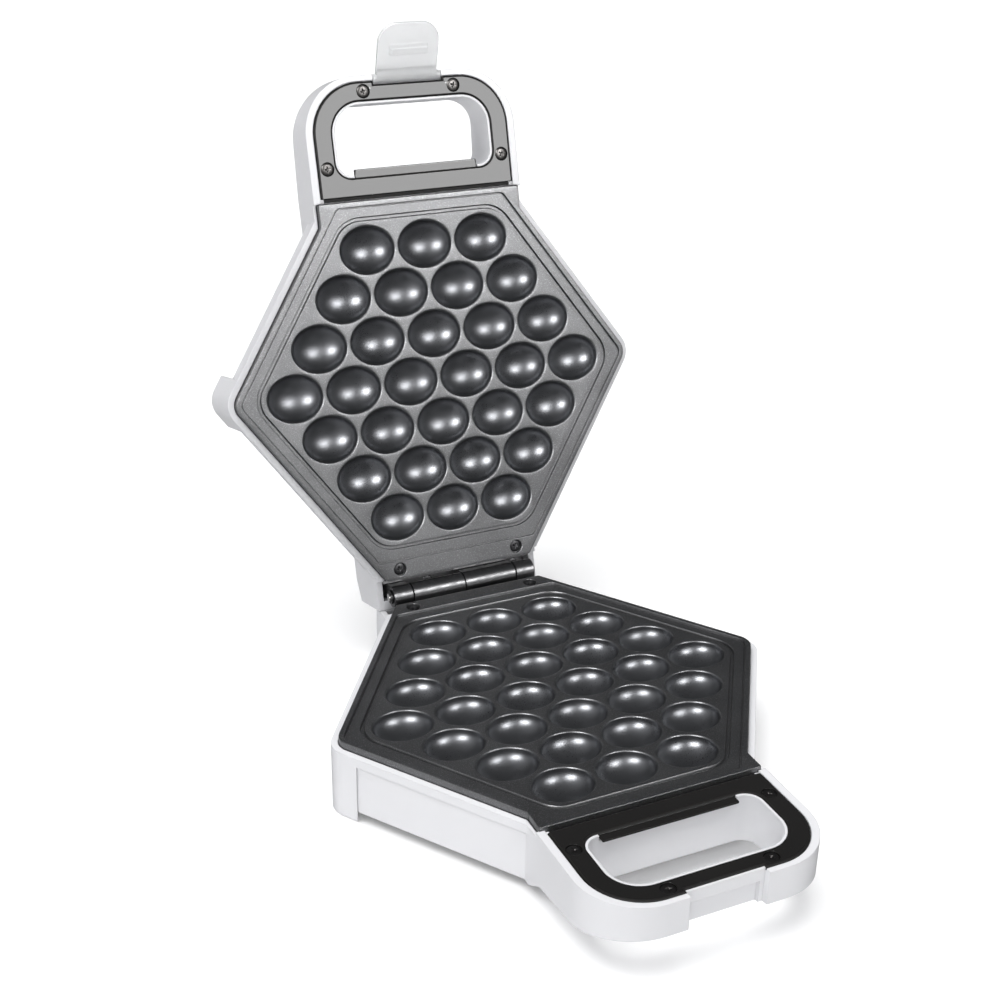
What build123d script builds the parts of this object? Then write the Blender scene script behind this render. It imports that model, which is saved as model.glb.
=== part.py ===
from build123d import *
import math
import os

# Bubble waffle maker: two hinged halves, each a cast plate of egg-shaped bubbles in a moulded housing
# with a loop handle, and a snap latch that holds the halves together.
# Millimetres. A half is drawn face up: the plate's centre is x = y = 0, the parting plane is z = 0,
# the handle points to -Y and the hinge lies at +Y. The lid is the same half turned over, then opened.

# Bubble pattern of the plates
bubble_pitch = 31.0
row_pitch = 22.84
row_counts = (3, 4, 5, 6, 5, 4, 3)
bubble_half_x = 14.3
bubble_half_y = 11.8
bubble_depth = 9.5
bubble_wall = 2.2
bubble_roundness = 0.93
bubble_sides = 14
bubble_levels = 2
back_sides = 8

# Plate outline: a hexagon whose slanted sides run along the bubble rows
plate_margin_side = 32.0
plate_margin_front = 24.28
plate_margin_rear = 32.5
plate_tab_half = 54.2
plate_corner = 8.0
plate_thickness = 4.0
skirt_height = 6.0
skirt_thickness = 2.0
lip_width = 2.5
lip_height = 1.0
lip_rear = 91.5
moat_inset = 7.9
moat_width = 1.9
moat_depth = 1.4
moat_corner = 14.0
moat_front = 84.8
moat_rear = 85.0
plate_screw_x = 33.3
plate_screw_inset = 5.2

# Parting plane and joints
parting_gap = 0.25
open_angle = 106.0
hinge_behind_plate = 8.2
seat_gap = 0.3

# Housing
base_height = 38.0
wall = 2.5
rim_drop = 3.8
rim_out = 3.5
band_height = 4.5
band_step = 0.6
plate_fit = 0.4
ledge_width = 3.0
ledge_thickness = 2.0
cover_rise = 5.2
lid_wall_height = 15.5
shoulder_height = 27.0
shoulder_inset = 9.0
crown_height = 36.0
crown_inset = 24.0
corner_foot_width = 9.0
corner_foot_rise = 0.4
side_wall_rear = 99.0
rear_wall = 1.0

# Loop handle
handle_half = 56.0
handle_front = 153.0
handle_corner = 28.0
handle_top = 1.8
handle_heights = ((98.0, 26.5), (125.0, 23.5), (153.0, 18.0))
handle_root = 14.0
handle_root_run = 10.0
handle_wall = 5.0
cross_wall_gap = 0.35
cross_wall = 2.1

# Handle trim
trim_half = 52.0
trim_rear = 95.2
trim_front = 150.0
trim_corner = 25.0
trim_drop = 1.3
trim_thickness = 1.6
trim_fit = 0.3
opening_half = 42.3
opening_rear = 104.2
opening_front = 140.4
opening_corner_front = 15.0
opening_corner_rear = 8.0
liner_ring = 1.2
liner_wall = 2.2
lip_half = 33.0
trim_lip_depth = 4.0
trim_lip_drop = 1.0
flange_half = 50.0
flange_thickness = 1.5
flange_root = 1.0
trim_screws = ((24.1, -145.3), (47.0, -109.4))

# Latch
latch_notch_half = 18.3
latch_notch_back = 148.3
latch_pivot_y = 151.0
latch_pivot_drop = 4.0
latch_hub_radius = 2.4
latch_hub_gap = 0.3
latch_plate_half = 16.2
latch_length = 28.0
latch_thickness = 2.2
latch_corner = 10.0
latch_pin_radius = 1.25
latch_pin_hold = 4.0
latch_rest_lift = 62.0
catch_bar_face = 149.6
catch_bar_bottom = 8.0
catch_recess_back = 147.4
catch_recess_half = 16.3
catch_rib_half = 10.0
catch_rib_height = 5.0
catch_rib_depth = 1.9
latch_stand = 0.4
running_gap = 0.05

# Hinge
barrel_radius = 5.4
pin_radius = 2.0
barrel_inner = 0.35
barrel_outer = 29.0
ear_inner = 29.8
ear_outer = 40.0
bracket_half = 42.0
bracket_thickness = 2.5
bracket_shelf = 15.0
bracket_front_wall = 1.8
bracket_wall_top = 6.4
bracket_rear_reach = 3.0
web_front = 5.4
clip_thickness = 0.8
clip_radius = 3.6
hinge_box_half = 45.5
hinge_box_reach = 8.0
hinge_box_root = 6.0
lid_box_rim = 6.0
lid_box_chamfer = (12.0, 4.5)
hinge_screw_spots = (-35.0, 15.0)

# Fasteners
screw_head_radius = 3.2
screw_head_height = 0.9
screw_shank_radius = 1.5
screw_length = 9.0
boss_radius = 3.4
post_wall = 1.5

# Heating parts
element_radius = 3.25
element_reach = 66.0
element_front = 60.0
element_bend = 15.0
element_end_x = 13.0
shield_thickness = 0.8
shield_inset = 10.3
shield_front = 82.8
shield_hole = 11.0
lead_hole = 7.0
lead_hole_y = 70.0
thermostat_radius = 9.7
thermostat_height = 11.0
blade_inner = 3.0
blade_outer = 9.0
blade_half = 0.4
blade_clearance = 1.5
fuse_radius = 2.2
fuse_length = 16.0
fuse_x = 30.0
fuse_y = 30.0

# Underside, wiring and lamps
cover_thickness = 2.5
cover_inset = 0.3
cover_boss_y = 60.0
cover_boss_inset = 4.4
cover_boss_radius = 4.9
vent_length = 34.0
vent_width = 3.0
vent_pitch = 9.0
vent_count = 5
foot_radius = 7.0
foot_front = (40.0, -70.0)
foot_rear_x = 34.0
foot_seat = 1.0
terminal_size = (32.0, 11.0, 9.0)
terminal_ways = 3
terminal_groove = 1.2
gland_x = 26.0
gland_drop = 26.0
gland_bore = 3.2
gland_radius = 5.0
gland_flange = 7.0
gland_out = 5.0
gland_in = 4.0
gland_flange_thickness = 1.5
lamp_x = 8.0
lamp_y = -62.0
lamp_radius = 3.4
lamp_flange = 4.3
lamp_stand = 0.8
lamp_depth = 5.8
board_size = (34.0, 12.0, 1.6)
board_post_radius = 2.0
board_post_inset = 2.0

# Sizes that follow
base_wall_height = base_height - cover_rise
corner_foot_height = base_height - corner_foot_rise
slope = row_pitch / (bubble_pitch / 2)
lean = math.sqrt(1 + 1 / slope**2)
reach = (max(row_counts) - 1) / 2 * bubble_pitch + plate_margin_side
last_row = (len(row_counts) - 1) / 2 * row_pitch
plate_front = last_row + plate_margin_front
plate_rear = last_row + plate_margin_rear
plate_top = -parting_gap
field_top = plate_top - lip_height
slab_bottom = field_top - plate_thickness
skirt_bottom = plate_top - skirt_height
back_bottom = field_top - bubble_depth - bubble_wall
hinge_y = plate_rear + hinge_behind_plate
hinge_box_rear = hinge_y + hinge_box_reach
rear_wall_inner = side_wall_rear - rear_wall
bracket_top = -(bracket_shelf - bracket_thickness)
bracket_front = plate_rear + 2 * seat_gap
bracket_rear = hinge_y + bracket_rear_reach
ledge_bottom = skirt_bottom - ledge_thickness
cross_front = plate_front + cross_wall_gap
cross_rear = cross_front + cross_wall
trim_top = -trim_drop
trim_bottom = trim_top - trim_thickness
plate_screw_y = plate_rear - plate_screw_inset
element_level = back_bottom - seat_gap - element_radius
shield_top = element_level - element_radius - seat_gap
cover_top = -base_wall_height + cover_thickness
hinge_screw_y = (bracket_front + bracket_front_wall + bracket_rear) / 2
hinge_axis = Axis((0, hinge_y, 0), (1, 0, 0))
board_level = -crown_height - lamp_stand + lamp_depth + seat_gap
board_post_x = board_size[0] / 2 - board_post_inset
shield_bottom = shield_top - shield_thickness


def slab(sketch, low, high):
    # A sketch on the XY plane raised from one level to another
    return extrude(Pos(0, 0, low) * sketch, amount=high - low, dir=(0, 0, 1))


def outline(points):
    return make_face(Polyline(*points, close=True))


def block(x_low, x_high, y_low, y_high, z_low, z_high):
    size = (x_high - x_low, y_high - y_low, z_high - z_low)
    return Pos((x_low + x_high) / 2, (y_low + y_high) / 2, (z_low + z_high) / 2) * Box(*size)


def disc(x, y, radius, low, high):
    return Pos(x, y, (low + high) / 2) * Cylinder(radius, high - low)


def rod(x_low, x_high, y, z, radius):
    # A round bar along X
    return Pos((x_low + x_high) / 2, y, z) * Rot(0, 90, 0) * Cylinder(radius, x_high - x_low)


def rod_y(x, z, radius, y_low, y_high):
    # A round bar along Y
    return Pos(x, (y_low + y_high) / 2, z) * Rot(90, 0, 0) * Cylinder(radius, y_high - y_low)


def both_sides(shape):
    return [shape, mirror(shape, about=Plane.YZ)]


def side_prism(points, half_length):
    # A profile in Y and Z drawn out along X
    return extrude(Plane.YZ * outline(points), amount=half_length, both=True)


def hexagon(grow, front, rear, corner=0.0, tab=None):
    # The plate's outline, moved outwards by grow, cut square at the front and the rear
    side = reach + grow * lean
    rear_half = side - rear / slope
    points = [(side, 0), (rear_half, rear), (-rear_half, rear), (-side, 0)]
    if tab is None:
        front_half = side - front / slope
        points += [(-front_half, -front), (front_half, -front)]
    else:
        tab_start = (side - tab) * slope
        points += [(-tab, -tab_start), (-tab, -front), (tab, -front), (tab, -tab_start)]
    sketch = outline(points)
    if corner > 0:
        tips = sketch.vertices().sort_by(Axis.X)
        sketch = fillet([tips[0], tips[-1]], corner)
    return sketch


def rounded_front(half, rear, front, corner):
    # A rectangle towards the handle, with its two front corners round
    sketch = outline([(-half, -rear), (-half, -front), (half, -front), (half, -rear)])
    return fillet(sketch.vertices().sort_by(Axis.Y)[:2], corner)


def opening_outline(grow):
    # The finger opening of the handle, moved outwards by grow
    half = opening_half + grow
    front = opening_front + grow
    rear = opening_rear - grow
    sketch = rounded_front(half, rear, front, opening_corner_front + grow)
    return fillet(sketch.vertices().sort_by(Axis.Y)[-2:], opening_corner_rear + grow)


def bowl(half_x, half_y, depth, sides, levels, above=0.0):
    # An egg-shaped bowl of flat facets, mouth up at z = 0, with a straight collar above it
    rings = [(above, 1.0)] if above > 0 else []
    for level in range(levels + 1):
        share = level / levels
        rings.append((-depth * share, math.sqrt(1 - (bubble_roundness * share) ** 2)))
    corners = []
    for height, scale in rings:
        turn = [2 * math.pi * (k + 0.5) / sides for k in range(sides)]
        corners.append([(half_x * scale * math.cos(a), half_y * scale * math.sin(a), height) for a in turn])
    faces = [Face(Wire.make_polygon(corners[0])), Face(Wire.make_polygon(corners[-1]))]
    for upper, lower in zip(corners, corners[1:]):
        for k in range(sides):
            n = (k + 1) % sides
            faces.append(Face(Wire.make_polygon([upper[k], upper[n], lower[n], lower[k]])))
    return Solid(Shell(faces))


def bubble_centres():
    middle = (len(row_counts) - 1) / 2
    centres = []
    for row, count in enumerate(row_counts):
        for k in range(count):
            centres.append(((k - (count - 1) / 2) * bubble_pitch, (row - middle) * row_pitch))
    return centres


def plate():
    # Cast plate: skirt, raised lip, overflow moat, bubble bowls and their domes on the back
    whole = hexagon(0, plate_front, plate_rear, plate_corner, plate_tab_half)
    body = slab(whole, slab_bottom, plate_top)
    inner = hexagon(
        -skirt_thickness,
        plate_front - skirt_thickness,
        plate_rear - skirt_thickness,
        plate_corner - skirt_thickness,
        plate_tab_half - skirt_thickness,
    )
    body += slab(whole, skirt_bottom, slab_bottom) - slab(inner, skirt_bottom, slab_bottom)
    field = hexagon(-lip_width, plate_front - lip_width, lip_rear, plate_corner - lip_width)
    body -= slab(field, field_top, plate_top)
    moat_outer = hexagon(-moat_inset, moat_front, moat_rear, moat_corner)
    inset = moat_inset + moat_width
    moat_inner = hexagon(-inset, moat_front - moat_width, moat_rear - moat_width, moat_corner)
    moat_bottom = field_top - moat_depth
    body -= slab(moat_outer, moat_bottom, field_top) - slab(moat_inner, moat_bottom, field_top)
    back = bowl(
        bubble_half_x + bubble_wall / 2,
        bubble_half_y + bubble_wall / 2,
        slab_bottom - back_bottom,
        back_sides,
        1,
    )
    body += [Pos(x, y, slab_bottom) * back for x, y in bubble_centres()]
    cavity = bowl(bubble_half_x, bubble_half_y, bubble_depth, bubble_sides, bubble_levels, 1.0)
    body -= [Pos(x, y, field_top) * cavity for x, y in bubble_centres()]
    hole = disc(plate_screw_x, plate_screw_y, screw_shank_radius + running_gap, skirt_bottom, plate_top)
    sink = disc(plate_screw_x, plate_screw_y, screw_head_radius + seat_gap, screw_seat(), plate_top)
    return body - both_sides(hole + sink)


def screw_seat():
    # The level that a plate screw's head bears on
    return field_top - screw_head_height - seat_gap


def screw(x, y, seat):
    # A pan-head screw driven down from its seat
    head = disc(x, y, screw_head_radius, seat, seat + screw_head_height)
    return head + disc(x, y, screw_shank_radius, seat - screw_length, seat)


def plate_screws():
    return both_sides(screw(plate_screw_x, plate_screw_y, screw_seat()))


def trim():
    # Glossy plate on the handle, with its opening, rear lip and latch notch
    body = slab(rounded_front(trim_half, trim_rear, trim_front, trim_corner), trim_bottom, trim_top)
    body -= slab(opening_outline(0), trim_bottom, trim_top)
    lip_rear_y = -opening_rear
    lip_front_y = lip_rear_y - trim_lip_depth
    lip_bottom = trim_bottom - trim_lip_drop
    body += block(-lip_half, lip_half, lip_front_y, lip_rear_y, lip_bottom, trim_top - trim_lip_drop)
    body += block(
        -flange_half,
        flange_half,
        -trim_rear - flange_root,
        -cross_front - trim_fit,
        trim_bottom - flange_thickness,
        trim_bottom,
    )
    body -= block(
        -latch_notch_half, latch_notch_half, -trim_front, -latch_notch_back, trim_bottom, trim_top
    )
    for x, y in trim_screws:
        body -= both_sides(disc(x, y, screw_shank_radius + running_gap, trim_bottom, trim_top))
        body -= both_sides(disc(x, y, screw_head_radius + seat_gap, trim_top - screw_head_height, trim_top))
    return body


def trim_screw_set():
    screws = []
    for x, y in trim_screws:
        screws += both_sides(screw(x, y, trim_top - screw_head_height))
    return screws


def handle_profile(root_height, lift):
    # Side view of the handle, its underside moved up by lift
    points = [
        (-plate_front + handle_root, -rim_drop),
        (-plate_front, -rim_drop),
        (-plate_front, -handle_top),
        (-handle_front, -handle_top),
    ]
    points += [(-y, -height + lift) for y, height in reversed(handle_heights)]
    points.append((-handle_heights[0][0] + handle_root_run, -root_height + lift))
    points.append((-plate_front + handle_root, -root_height + lift))
    return side_prism(points, handle_half)


def handle_outer(root_height):
    plan = rounded_front(handle_half, plate_front - handle_root, handle_front, handle_corner)
    return slab(plan, -base_height, 0) & handle_profile(root_height, 0)


def handle_channel(root_height):
    # The hollow between the handle's outer wall and the liner of the opening
    half = handle_half - handle_wall
    plan = rounded_front(half, cross_rear, handle_front - handle_wall, handle_corner - handle_wall)
    hollow = slab(plan, -base_height, trim_bottom) & handle_profile(root_height, wall)
    hollow -= slab(opening_outline(liner_wall - liner_ring), -base_height, 0)
    hollow -= block(
        -latch_notch_half - wall,
        latch_notch_half + wall,
        -handle_front,
        -catch_recess_back + wall,
        -base_height,
        0,
    )
    for x, y in trim_screws:
        hollow -= both_sides(disc(x, y, boss_radius, -base_height, 0))
    return hollow


def handle_cuts(notch_back, notch_bottom):
    # Trim seat, finger opening, lip notch, latch notch and screw holes
    seat = rounded_front(trim_half + trim_fit, cross_front, trim_front + trim_fit, trim_corner + trim_fit)
    seat = slab(seat, trim_bottom, 0)
    ring = slab(opening_outline(0), trim_bottom, 0)
    ring += block(
        -latch_notch_half, latch_notch_half, -handle_front, -latch_notch_back - trim_fit, trim_bottom, 0
    )
    cuts = seat - ring
    cuts += block(
        -flange_half - trim_fit,
        flange_half + trim_fit,
        -trim_rear - flange_root - trim_fit,
        -cross_front,
        trim_bottom - flange_thickness - trim_fit,
        trim_bottom,
    )
    cuts += slab(opening_outline(-liner_ring), -base_height, 0)
    cuts += block(
        -lip_half - trim_fit,
        lip_half + trim_fit,
        -opening_rear - trim_lip_depth,
        -opening_rear,
        trim_bottom - trim_lip_drop - trim_fit,
        0,
    )
    cuts += block(
        -latch_notch_half, latch_notch_half, -handle_front - 2, -notch_back, -notch_bottom, 0
    )
    for x, y in trim_screws:
        cuts += both_sides(disc(x, y, screw_shank_radius, trim_bottom - screw_length, trim_bottom))
    return cuts


def rim_and_walls(wall_height):
    # The proud band round the rim and the wall under it
    band = hexagon(rim_out, cross_rear, side_wall_rear, plate_corner + rim_out)
    side = hexagon(rim_out - band_step, cross_rear, side_wall_rear, plate_corner + rim_out)
    band_bottom = -rim_drop - band_height
    return slab(band, band_bottom, -rim_drop) + slab(side, -wall_height, band_bottom)


def corner_feet(height):
    # A pilaster at each side corner, from the rim band down to the foot
    plan = hexagon(rim_out, plate_front, plate_front, plate_corner + rim_out)
    inner = reach + rim_out * lean - corner_foot_width
    foot = slab(plan, -height, -rim_drop - 1) & block(inner, 2 * reach, -reach, reach, -height, 0)
    return both_sides(foot)


def plate_pocket():
    # The pocket that takes the plate's skirt, and the window inside its ledge
    pocket = hexagon(
        plate_fit,
        plate_front + cross_wall_gap,
        plate_rear + plate_fit,
        plate_corner + plate_fit,
        plate_tab_half + plate_fit,
    )
    window = hexagon(-ledge_width, plate_front - ledge_width, plate_rear - ledge_width, plate_corner)
    return slab(pocket, skirt_bottom, 0) + slab(window, ledge_bottom, skirt_bottom)


def shoulders(grow, crown):
    # The lid's sloped shoulders, from its side walls up to the flat crown
    levels = ((0.0, lid_wall_height), (shoulder_inset, shoulder_height), (crown_inset, crown))
    sections = []
    for inset, height in levels:
        size = grow - inset
        plan = hexagon(size, cross_rear - inset, side_wall_rear - inset, plate_corner + rim_out)
        sections.append(Pos(0, 0, -height) * plan)
    return loft(sections, ruled=True)


def hinge_box(rim, bottom):
    # The box behind the plate that carries the hinge bracket
    return block(
        -hinge_box_half, hinge_box_half, side_wall_rear - hinge_box_root, hinge_box_rear, -bottom, -rim
    )


def hinge_box_cuts(bottom, passage_bottom, side):
    # The hollow under the bracket's shelf, the way into it, the bracket's seat and its screw holes
    half = hinge_box_half - wall
    shelf_bottom = -bracket_shelf - wall
    front = rear_wall_inner + wall
    cuts = block(-half, half, front, hinge_box_rear - wall, -bottom + wall, shelf_bottom)
    cuts += block(-half, half, front - 3 * wall, front, -passage_bottom, shelf_bottom)
    cuts += block(
        -bracket_half - seat_gap,
        bracket_half + seat_gap,
        plate_rear,
        bracket_rear + seat_gap,
        -bracket_shelf,
        0,
    )
    for x in hinge_screw_spots:
        cuts += disc(side * x, hinge_screw_y, screw_shank_radius, shelf_bottom, -bracket_shelf)
    return cuts


def plate_boss():
    # Post under a plate screw, joined to the ledge beside it
    top = slab_bottom - seat_gap
    bottom = screw_seat() - screw_length - wall
    radius = screw_shank_radius + post_wall
    post = disc(plate_screw_x, plate_screw_y, radius, bottom, top)
    post += block(
        plate_screw_x - radius / 2,
        plate_screw_x + radius / 2,
        plate_screw_y,
        plate_rear + plate_fit,
        bottom,
        ledge_bottom,
    )
    return post - disc(plate_screw_x, plate_screw_y, screw_shank_radius, bottom + wall, top)


def open_stop_cut():
    # What the base's hinge box loses so that the open lid's rear wall comes to rest on it
    turn = math.radians(open_angle)
    span = 3 * hinge_box_reach
    rim_y = lid_box_rim * math.sin(turn) + hinge_box_reach * math.cos(turn)
    slope_fall = math.cos(turn) / math.sin(turn)
    level = -(hinge_box_reach + seat_gap) / math.sin(turn)
    points = [
        (hinge_y + rim_y - 1, level + (rim_y - 1) * slope_fall),
        (hinge_y + span, level + span * slope_fall),
        (hinge_y + span, 0),
        (side_wall_rear, 0),
        (side_wall_rear, level + (rim_y - 1) * slope_fall),
    ]
    return side_prism(points, 2 * hinge_box_half)


def base_cavity():
    # Room inside the base's walls, open below for the cover
    plan = hexagon(plate_fit, cross_front, rear_wall_inner, plate_corner)
    return slab(plan, -base_height, ledge_bottom)


def cover_sites():
    # Four screw places of the bottom cover, beside the slanted walls
    side = reach - cover_boss_inset * lean - cover_boss_y / slope
    return [(sx * side, sy * cover_boss_y) for sx in (-1, 1) for sy in (-1, 1)]


def base_housing():
    body = rim_and_walls(base_wall_height)
    body += handle_outer(base_wall_height)
    body += hinge_box(rim_drop, corner_foot_height)
    body -= plate_pocket()
    body -= base_cavity()
    body += corner_feet(corner_foot_height)
    body -= plate_pocket()
    body -= handle_channel(base_wall_height)
    body -= handle_cuts(catch_bar_face, base_height)
    body -= block(
        -catch_recess_half,
        catch_recess_half,
        -handle_front,
        -catch_recess_back,
        -base_height,
        -catch_bar_bottom,
    )
    body -= hinge_box_cuts(corner_foot_height, -cover_top, 1)
    body -= open_stop_cut()
    body += both_sides(plate_boss())
    for x, y in cover_sites():
        body += disc(x, y, cover_boss_radius, cover_top, ledge_bottom)
        body -= disc(x, y, screw_shank_radius, cover_top, cover_top + screw_length)
    body -= rod_y(gland_x, -gland_drop, gland_radius, hinge_box_rear - wall, hinge_box_rear)
    for x in (-foot_rear_x, foot_rear_x):
        body -= disc(x, hinge_y, foot_radius, -corner_foot_height, -corner_foot_height + foot_seat)
    return body


def lid_housing():
    body = rim_and_walls(lid_wall_height)
    body += shoulders(rim_out - band_step, crown_height)
    body += handle_outer(handle_heights[0][1])
    box = hinge_box(rim_drop, base_height)
    rear_cut, top_cut = lid_box_chamfer
    chamfer = [
        (hinge_box_rear - rear_cut, -base_height),
        (hinge_box_rear, -base_height + top_cut),
        (hinge_box_rear, -base_height),
    ]
    body += box - side_prism(chamfer, hinge_box_half)
    body += corner_feet(crown_height)
    room = hexagon(plate_fit, cross_front, rear_wall_inner, plate_corner)
    inside = slab(room, -lid_wall_height, ledge_bottom) + shoulders(plate_fit, crown_height - wall)
    body -= inside & block(-reach, reach, -cross_front, side_wall_rear, -base_height, 0)
    body -= plate_pocket()
    body -= handle_channel(handle_heights[0][1])
    body -= handle_cuts(latch_notch_back, latch_pivot_drop + latch_hub_radius + latch_hub_gap + 1)
    body -= hinge_box_cuts(base_height - wall, shoulder_height - wall, -1)
    body -= block(
        -hinge_box_half, hinge_box_half, plate_rear + plate_fit, hinge_box_rear, -lid_box_rim, 0
    )
    body += both_sides(plate_boss())
    body -= rod(
        -latch_notch_half - latch_pin_hold,
        latch_notch_half + latch_pin_hold,
        -latch_pivot_y,
        -latch_pivot_drop,
        latch_pin_radius + running_gap,
    )
    lamp_hole = disc(lamp_x, lamp_y, lamp_radius + running_gap, -crown_height, -crown_height + wall)
    board_post = disc(board_post_x, lamp_y, board_post_radius, -crown_height + wall, board_level)
    return body - both_sides(lamp_hole) + both_sides(board_post)


def bottom_cover():
    # Flat cover with vents, screw sinks and two bosses for the front feet
    plan = hexagon(
        plate_fit - cover_inset, cross_front - cover_inset, rear_wall_inner - cover_inset, plate_corner
    )
    half = reach + rim_out * lean - corner_foot_width - cover_inset
    body = slab(plan, -base_wall_height, cover_top)
    body &= block(-half, half, -reach, reach, -base_wall_height, cover_top)
    foot_x, foot_y = foot_front
    boss = disc(foot_x, foot_y, foot_radius + post_wall, -corner_foot_height, -base_wall_height)
    boss -= disc(foot_x, foot_y, foot_radius, -corner_foot_height, -corner_foot_height + foot_seat)
    body += both_sides(boss)
    for k in range(vent_count):
        y = (k - (vent_count - 1) / 2) * vent_pitch
        vent = slab(SlotOverall(vent_length, vent_width), -base_wall_height, cover_top)
        body -= Pos(0, y, 0) * vent
    for x, y in cover_sites():
        body -= disc(x, y, screw_shank_radius + running_gap, -base_wall_height, cover_top)
        sink_top = -base_wall_height + screw_head_height
        body -= disc(x, y, screw_head_radius + cover_inset, -base_wall_height, sink_top)
    return body


def cover_screws():
    # Driven up from below into the housing's posts
    screws = []
    for x, y in cover_sites():
        seat = -base_wall_height + screw_head_height
        head = disc(x, y, screw_head_radius, -base_wall_height, seat)
        screws.append(head + disc(x, y, screw_shank_radius, seat, seat + screw_length))
    return screws


def feet():
    top = -corner_foot_height + foot_seat
    rear = disc(foot_rear_x, hinge_y, foot_radius - running_gap, -base_height, top)
    front = disc(*foot_front, foot_radius - running_gap, -base_height, top)
    return both_sides(rear) + both_sides(front)


def heating_element():
    # Bent sheathed element between the plate's domes and the shield, its two ends towards the hinge
    bend_x = element_reach - element_front / slope
    end_y = (element_reach - element_end_x) * slope
    points = [
        (element_end_x, end_y),
        (element_reach, 0),
        (bend_x, -element_front),
        (-bend_x, -element_front),
        (-element_reach, 0),
        (-element_end_x, end_y),
    ]
    path = Pos(0, 0, element_level) * FilletPolyline(*points, radius=element_bend)
    section = Plane(origin=path @ 0, z_dir=path % 0) * RegularPolygon(element_radius, 8)
    return sweep(section, path=path)


def heat_shield():
    # Reflector dish that hangs from the plate's underside round the domes
    outer = hexagon(-shield_inset, shield_front, shield_front)
    inner = hexagon(
        -shield_inset - shield_thickness, shield_front - shield_thickness, shield_front - shield_thickness
    )
    body = slab(outer, shield_bottom, slab_bottom) - slab(inner, shield_top, slab_bottom)
    body -= disc(0, 0, shield_hole, shield_bottom, shield_top)
    body -= disc(0, lead_hole_y, lead_hole, shield_bottom, shield_top)
    return body


def thermostat():
    # Disc thermostat pressed on the plate's middle domes, with two blade terminals below
    top = back_bottom - seat_gap
    low = top - thermostat_height
    body = disc(0, 0, thermostat_radius, low, top)
    blade = block(blade_inner, blade_outer, -blade_half, blade_half, cover_top + blade_clearance, low)
    return body + both_sides(blade)


def thermal_fuse():
    # Cut-out in its saddle under the shield
    level = shield_bottom - seat_gap - fuse_radius
    body = rod(fuse_x - fuse_length / 2, fuse_x + fuse_length / 2, fuse_y, level, fuse_radius)
    saddle = block(
        fuse_x - fuse_radius,
        fuse_x + fuse_radius,
        fuse_y - 2 * fuse_radius,
        fuse_y + 2 * fuse_radius,
        shield_bottom - fuse_radius / 2,
        shield_bottom,
    )
    return body + saddle


def terminal_block():
    # Three-way block on the bottom cover, behind the shield
    length, depth, height = terminal_size
    y = (shield_front + side_wall_rear) / 2
    front = y - depth / 2
    rear = y + depth / 2
    top = cover_top + height
    middle = cover_top + height / 2
    body = block(-length / 2, length / 2, front, rear, cover_top, top)
    pitch = length / terminal_ways
    groove = terminal_groove / 2
    for k in range(terminal_ways):
        x = (k - (terminal_ways - 1) / 2) * pitch
        body -= disc(x, y, screw_shank_radius + groove, middle, top)
    for k in range(1, terminal_ways):
        x = (k - terminal_ways / 2) * pitch
        body -= block(x - groove, x + groove, front, rear, middle, top)
    return body


def cord_gland():
    # Bush in the rear wall with a flange outside and a collar inside
    z = -gland_drop
    inner_end = hinge_box_rear - wall - gland_in
    outer_end = hinge_box_rear + gland_out
    body = rod_y(gland_x, z, gland_radius - running_gap, inner_end, outer_end)
    body += rod_y(gland_x, z, gland_flange, hinge_box_rear, hinge_box_rear + gland_flange_thickness)
    body += rod_y(gland_x, z, gland_flange, inner_end + gland_in / 2, hinge_box_rear - wall)
    return body - rod_y(gland_x, z, gland_bore, inner_end, outer_end)


def hinge_bracket(spans, side):
    # Black bracket in the hinge box, with the knuckles of its own half
    body = block(-bracket_half, bracket_half, bracket_front, bracket_rear, -bracket_shelf, bracket_top)
    wall_rear = bracket_front + bracket_front_wall
    body += block(-bracket_half, bracket_half, bracket_front, wall_rear, bracket_top, -bracket_wall_top)
    for low, high in spans:
        body += block(low, high, hinge_y - web_front, hinge_y, bracket_top, 0)
        body += rod(low, high, hinge_y, 0, barrel_radius)
        body -= rod(low, high, hinge_y, 0, pin_radius + running_gap)
    hole_radius = screw_shank_radius + running_gap
    for x in hinge_screw_spots:
        body -= disc(side * x, hinge_screw_y, hole_radius, -bracket_shelf, bracket_top)
    return body


def hinge_screws(side):
    return [screw(side * x, hinge_screw_y, bracket_top) for x in hinge_screw_spots]


def clip_start():
    return ear_outer + 3 * running_gap


def hinge_pin():
    end = clip_start() + 2 * clip_thickness
    return rod(-end, end, hinge_y, 0, pin_radius)


def retaining_clips():
    start = clip_start()
    clip = rod(start, start + clip_thickness, hinge_y, 0, clip_radius)
    clip -= rod(start, start + clip_thickness, hinge_y, 0, pin_radius + running_gap)
    return both_sides(clip)


def lamp(x):
    # Lens with a flange behind the crown
    top = -crown_height - lamp_stand
    body = disc(x, lamp_y, lamp_radius, top, top + lamp_depth)
    flange_low = -crown_height + wall + seat_gap
    return body + disc(x, lamp_y, lamp_flange, flange_low, flange_low + lamp_stand)


def lamp_board():
    length, depth, thickness = board_size
    return block(
        -length / 2, length / 2, lamp_y - depth / 2, lamp_y + depth / 2, board_level, board_level + thickness
    )


def latch_pin():
    half = latch_notch_half + latch_pin_hold - seat_gap
    return rod(-half, half, -latch_pivot_y, -latch_pivot_drop, latch_pin_radius)


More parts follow.
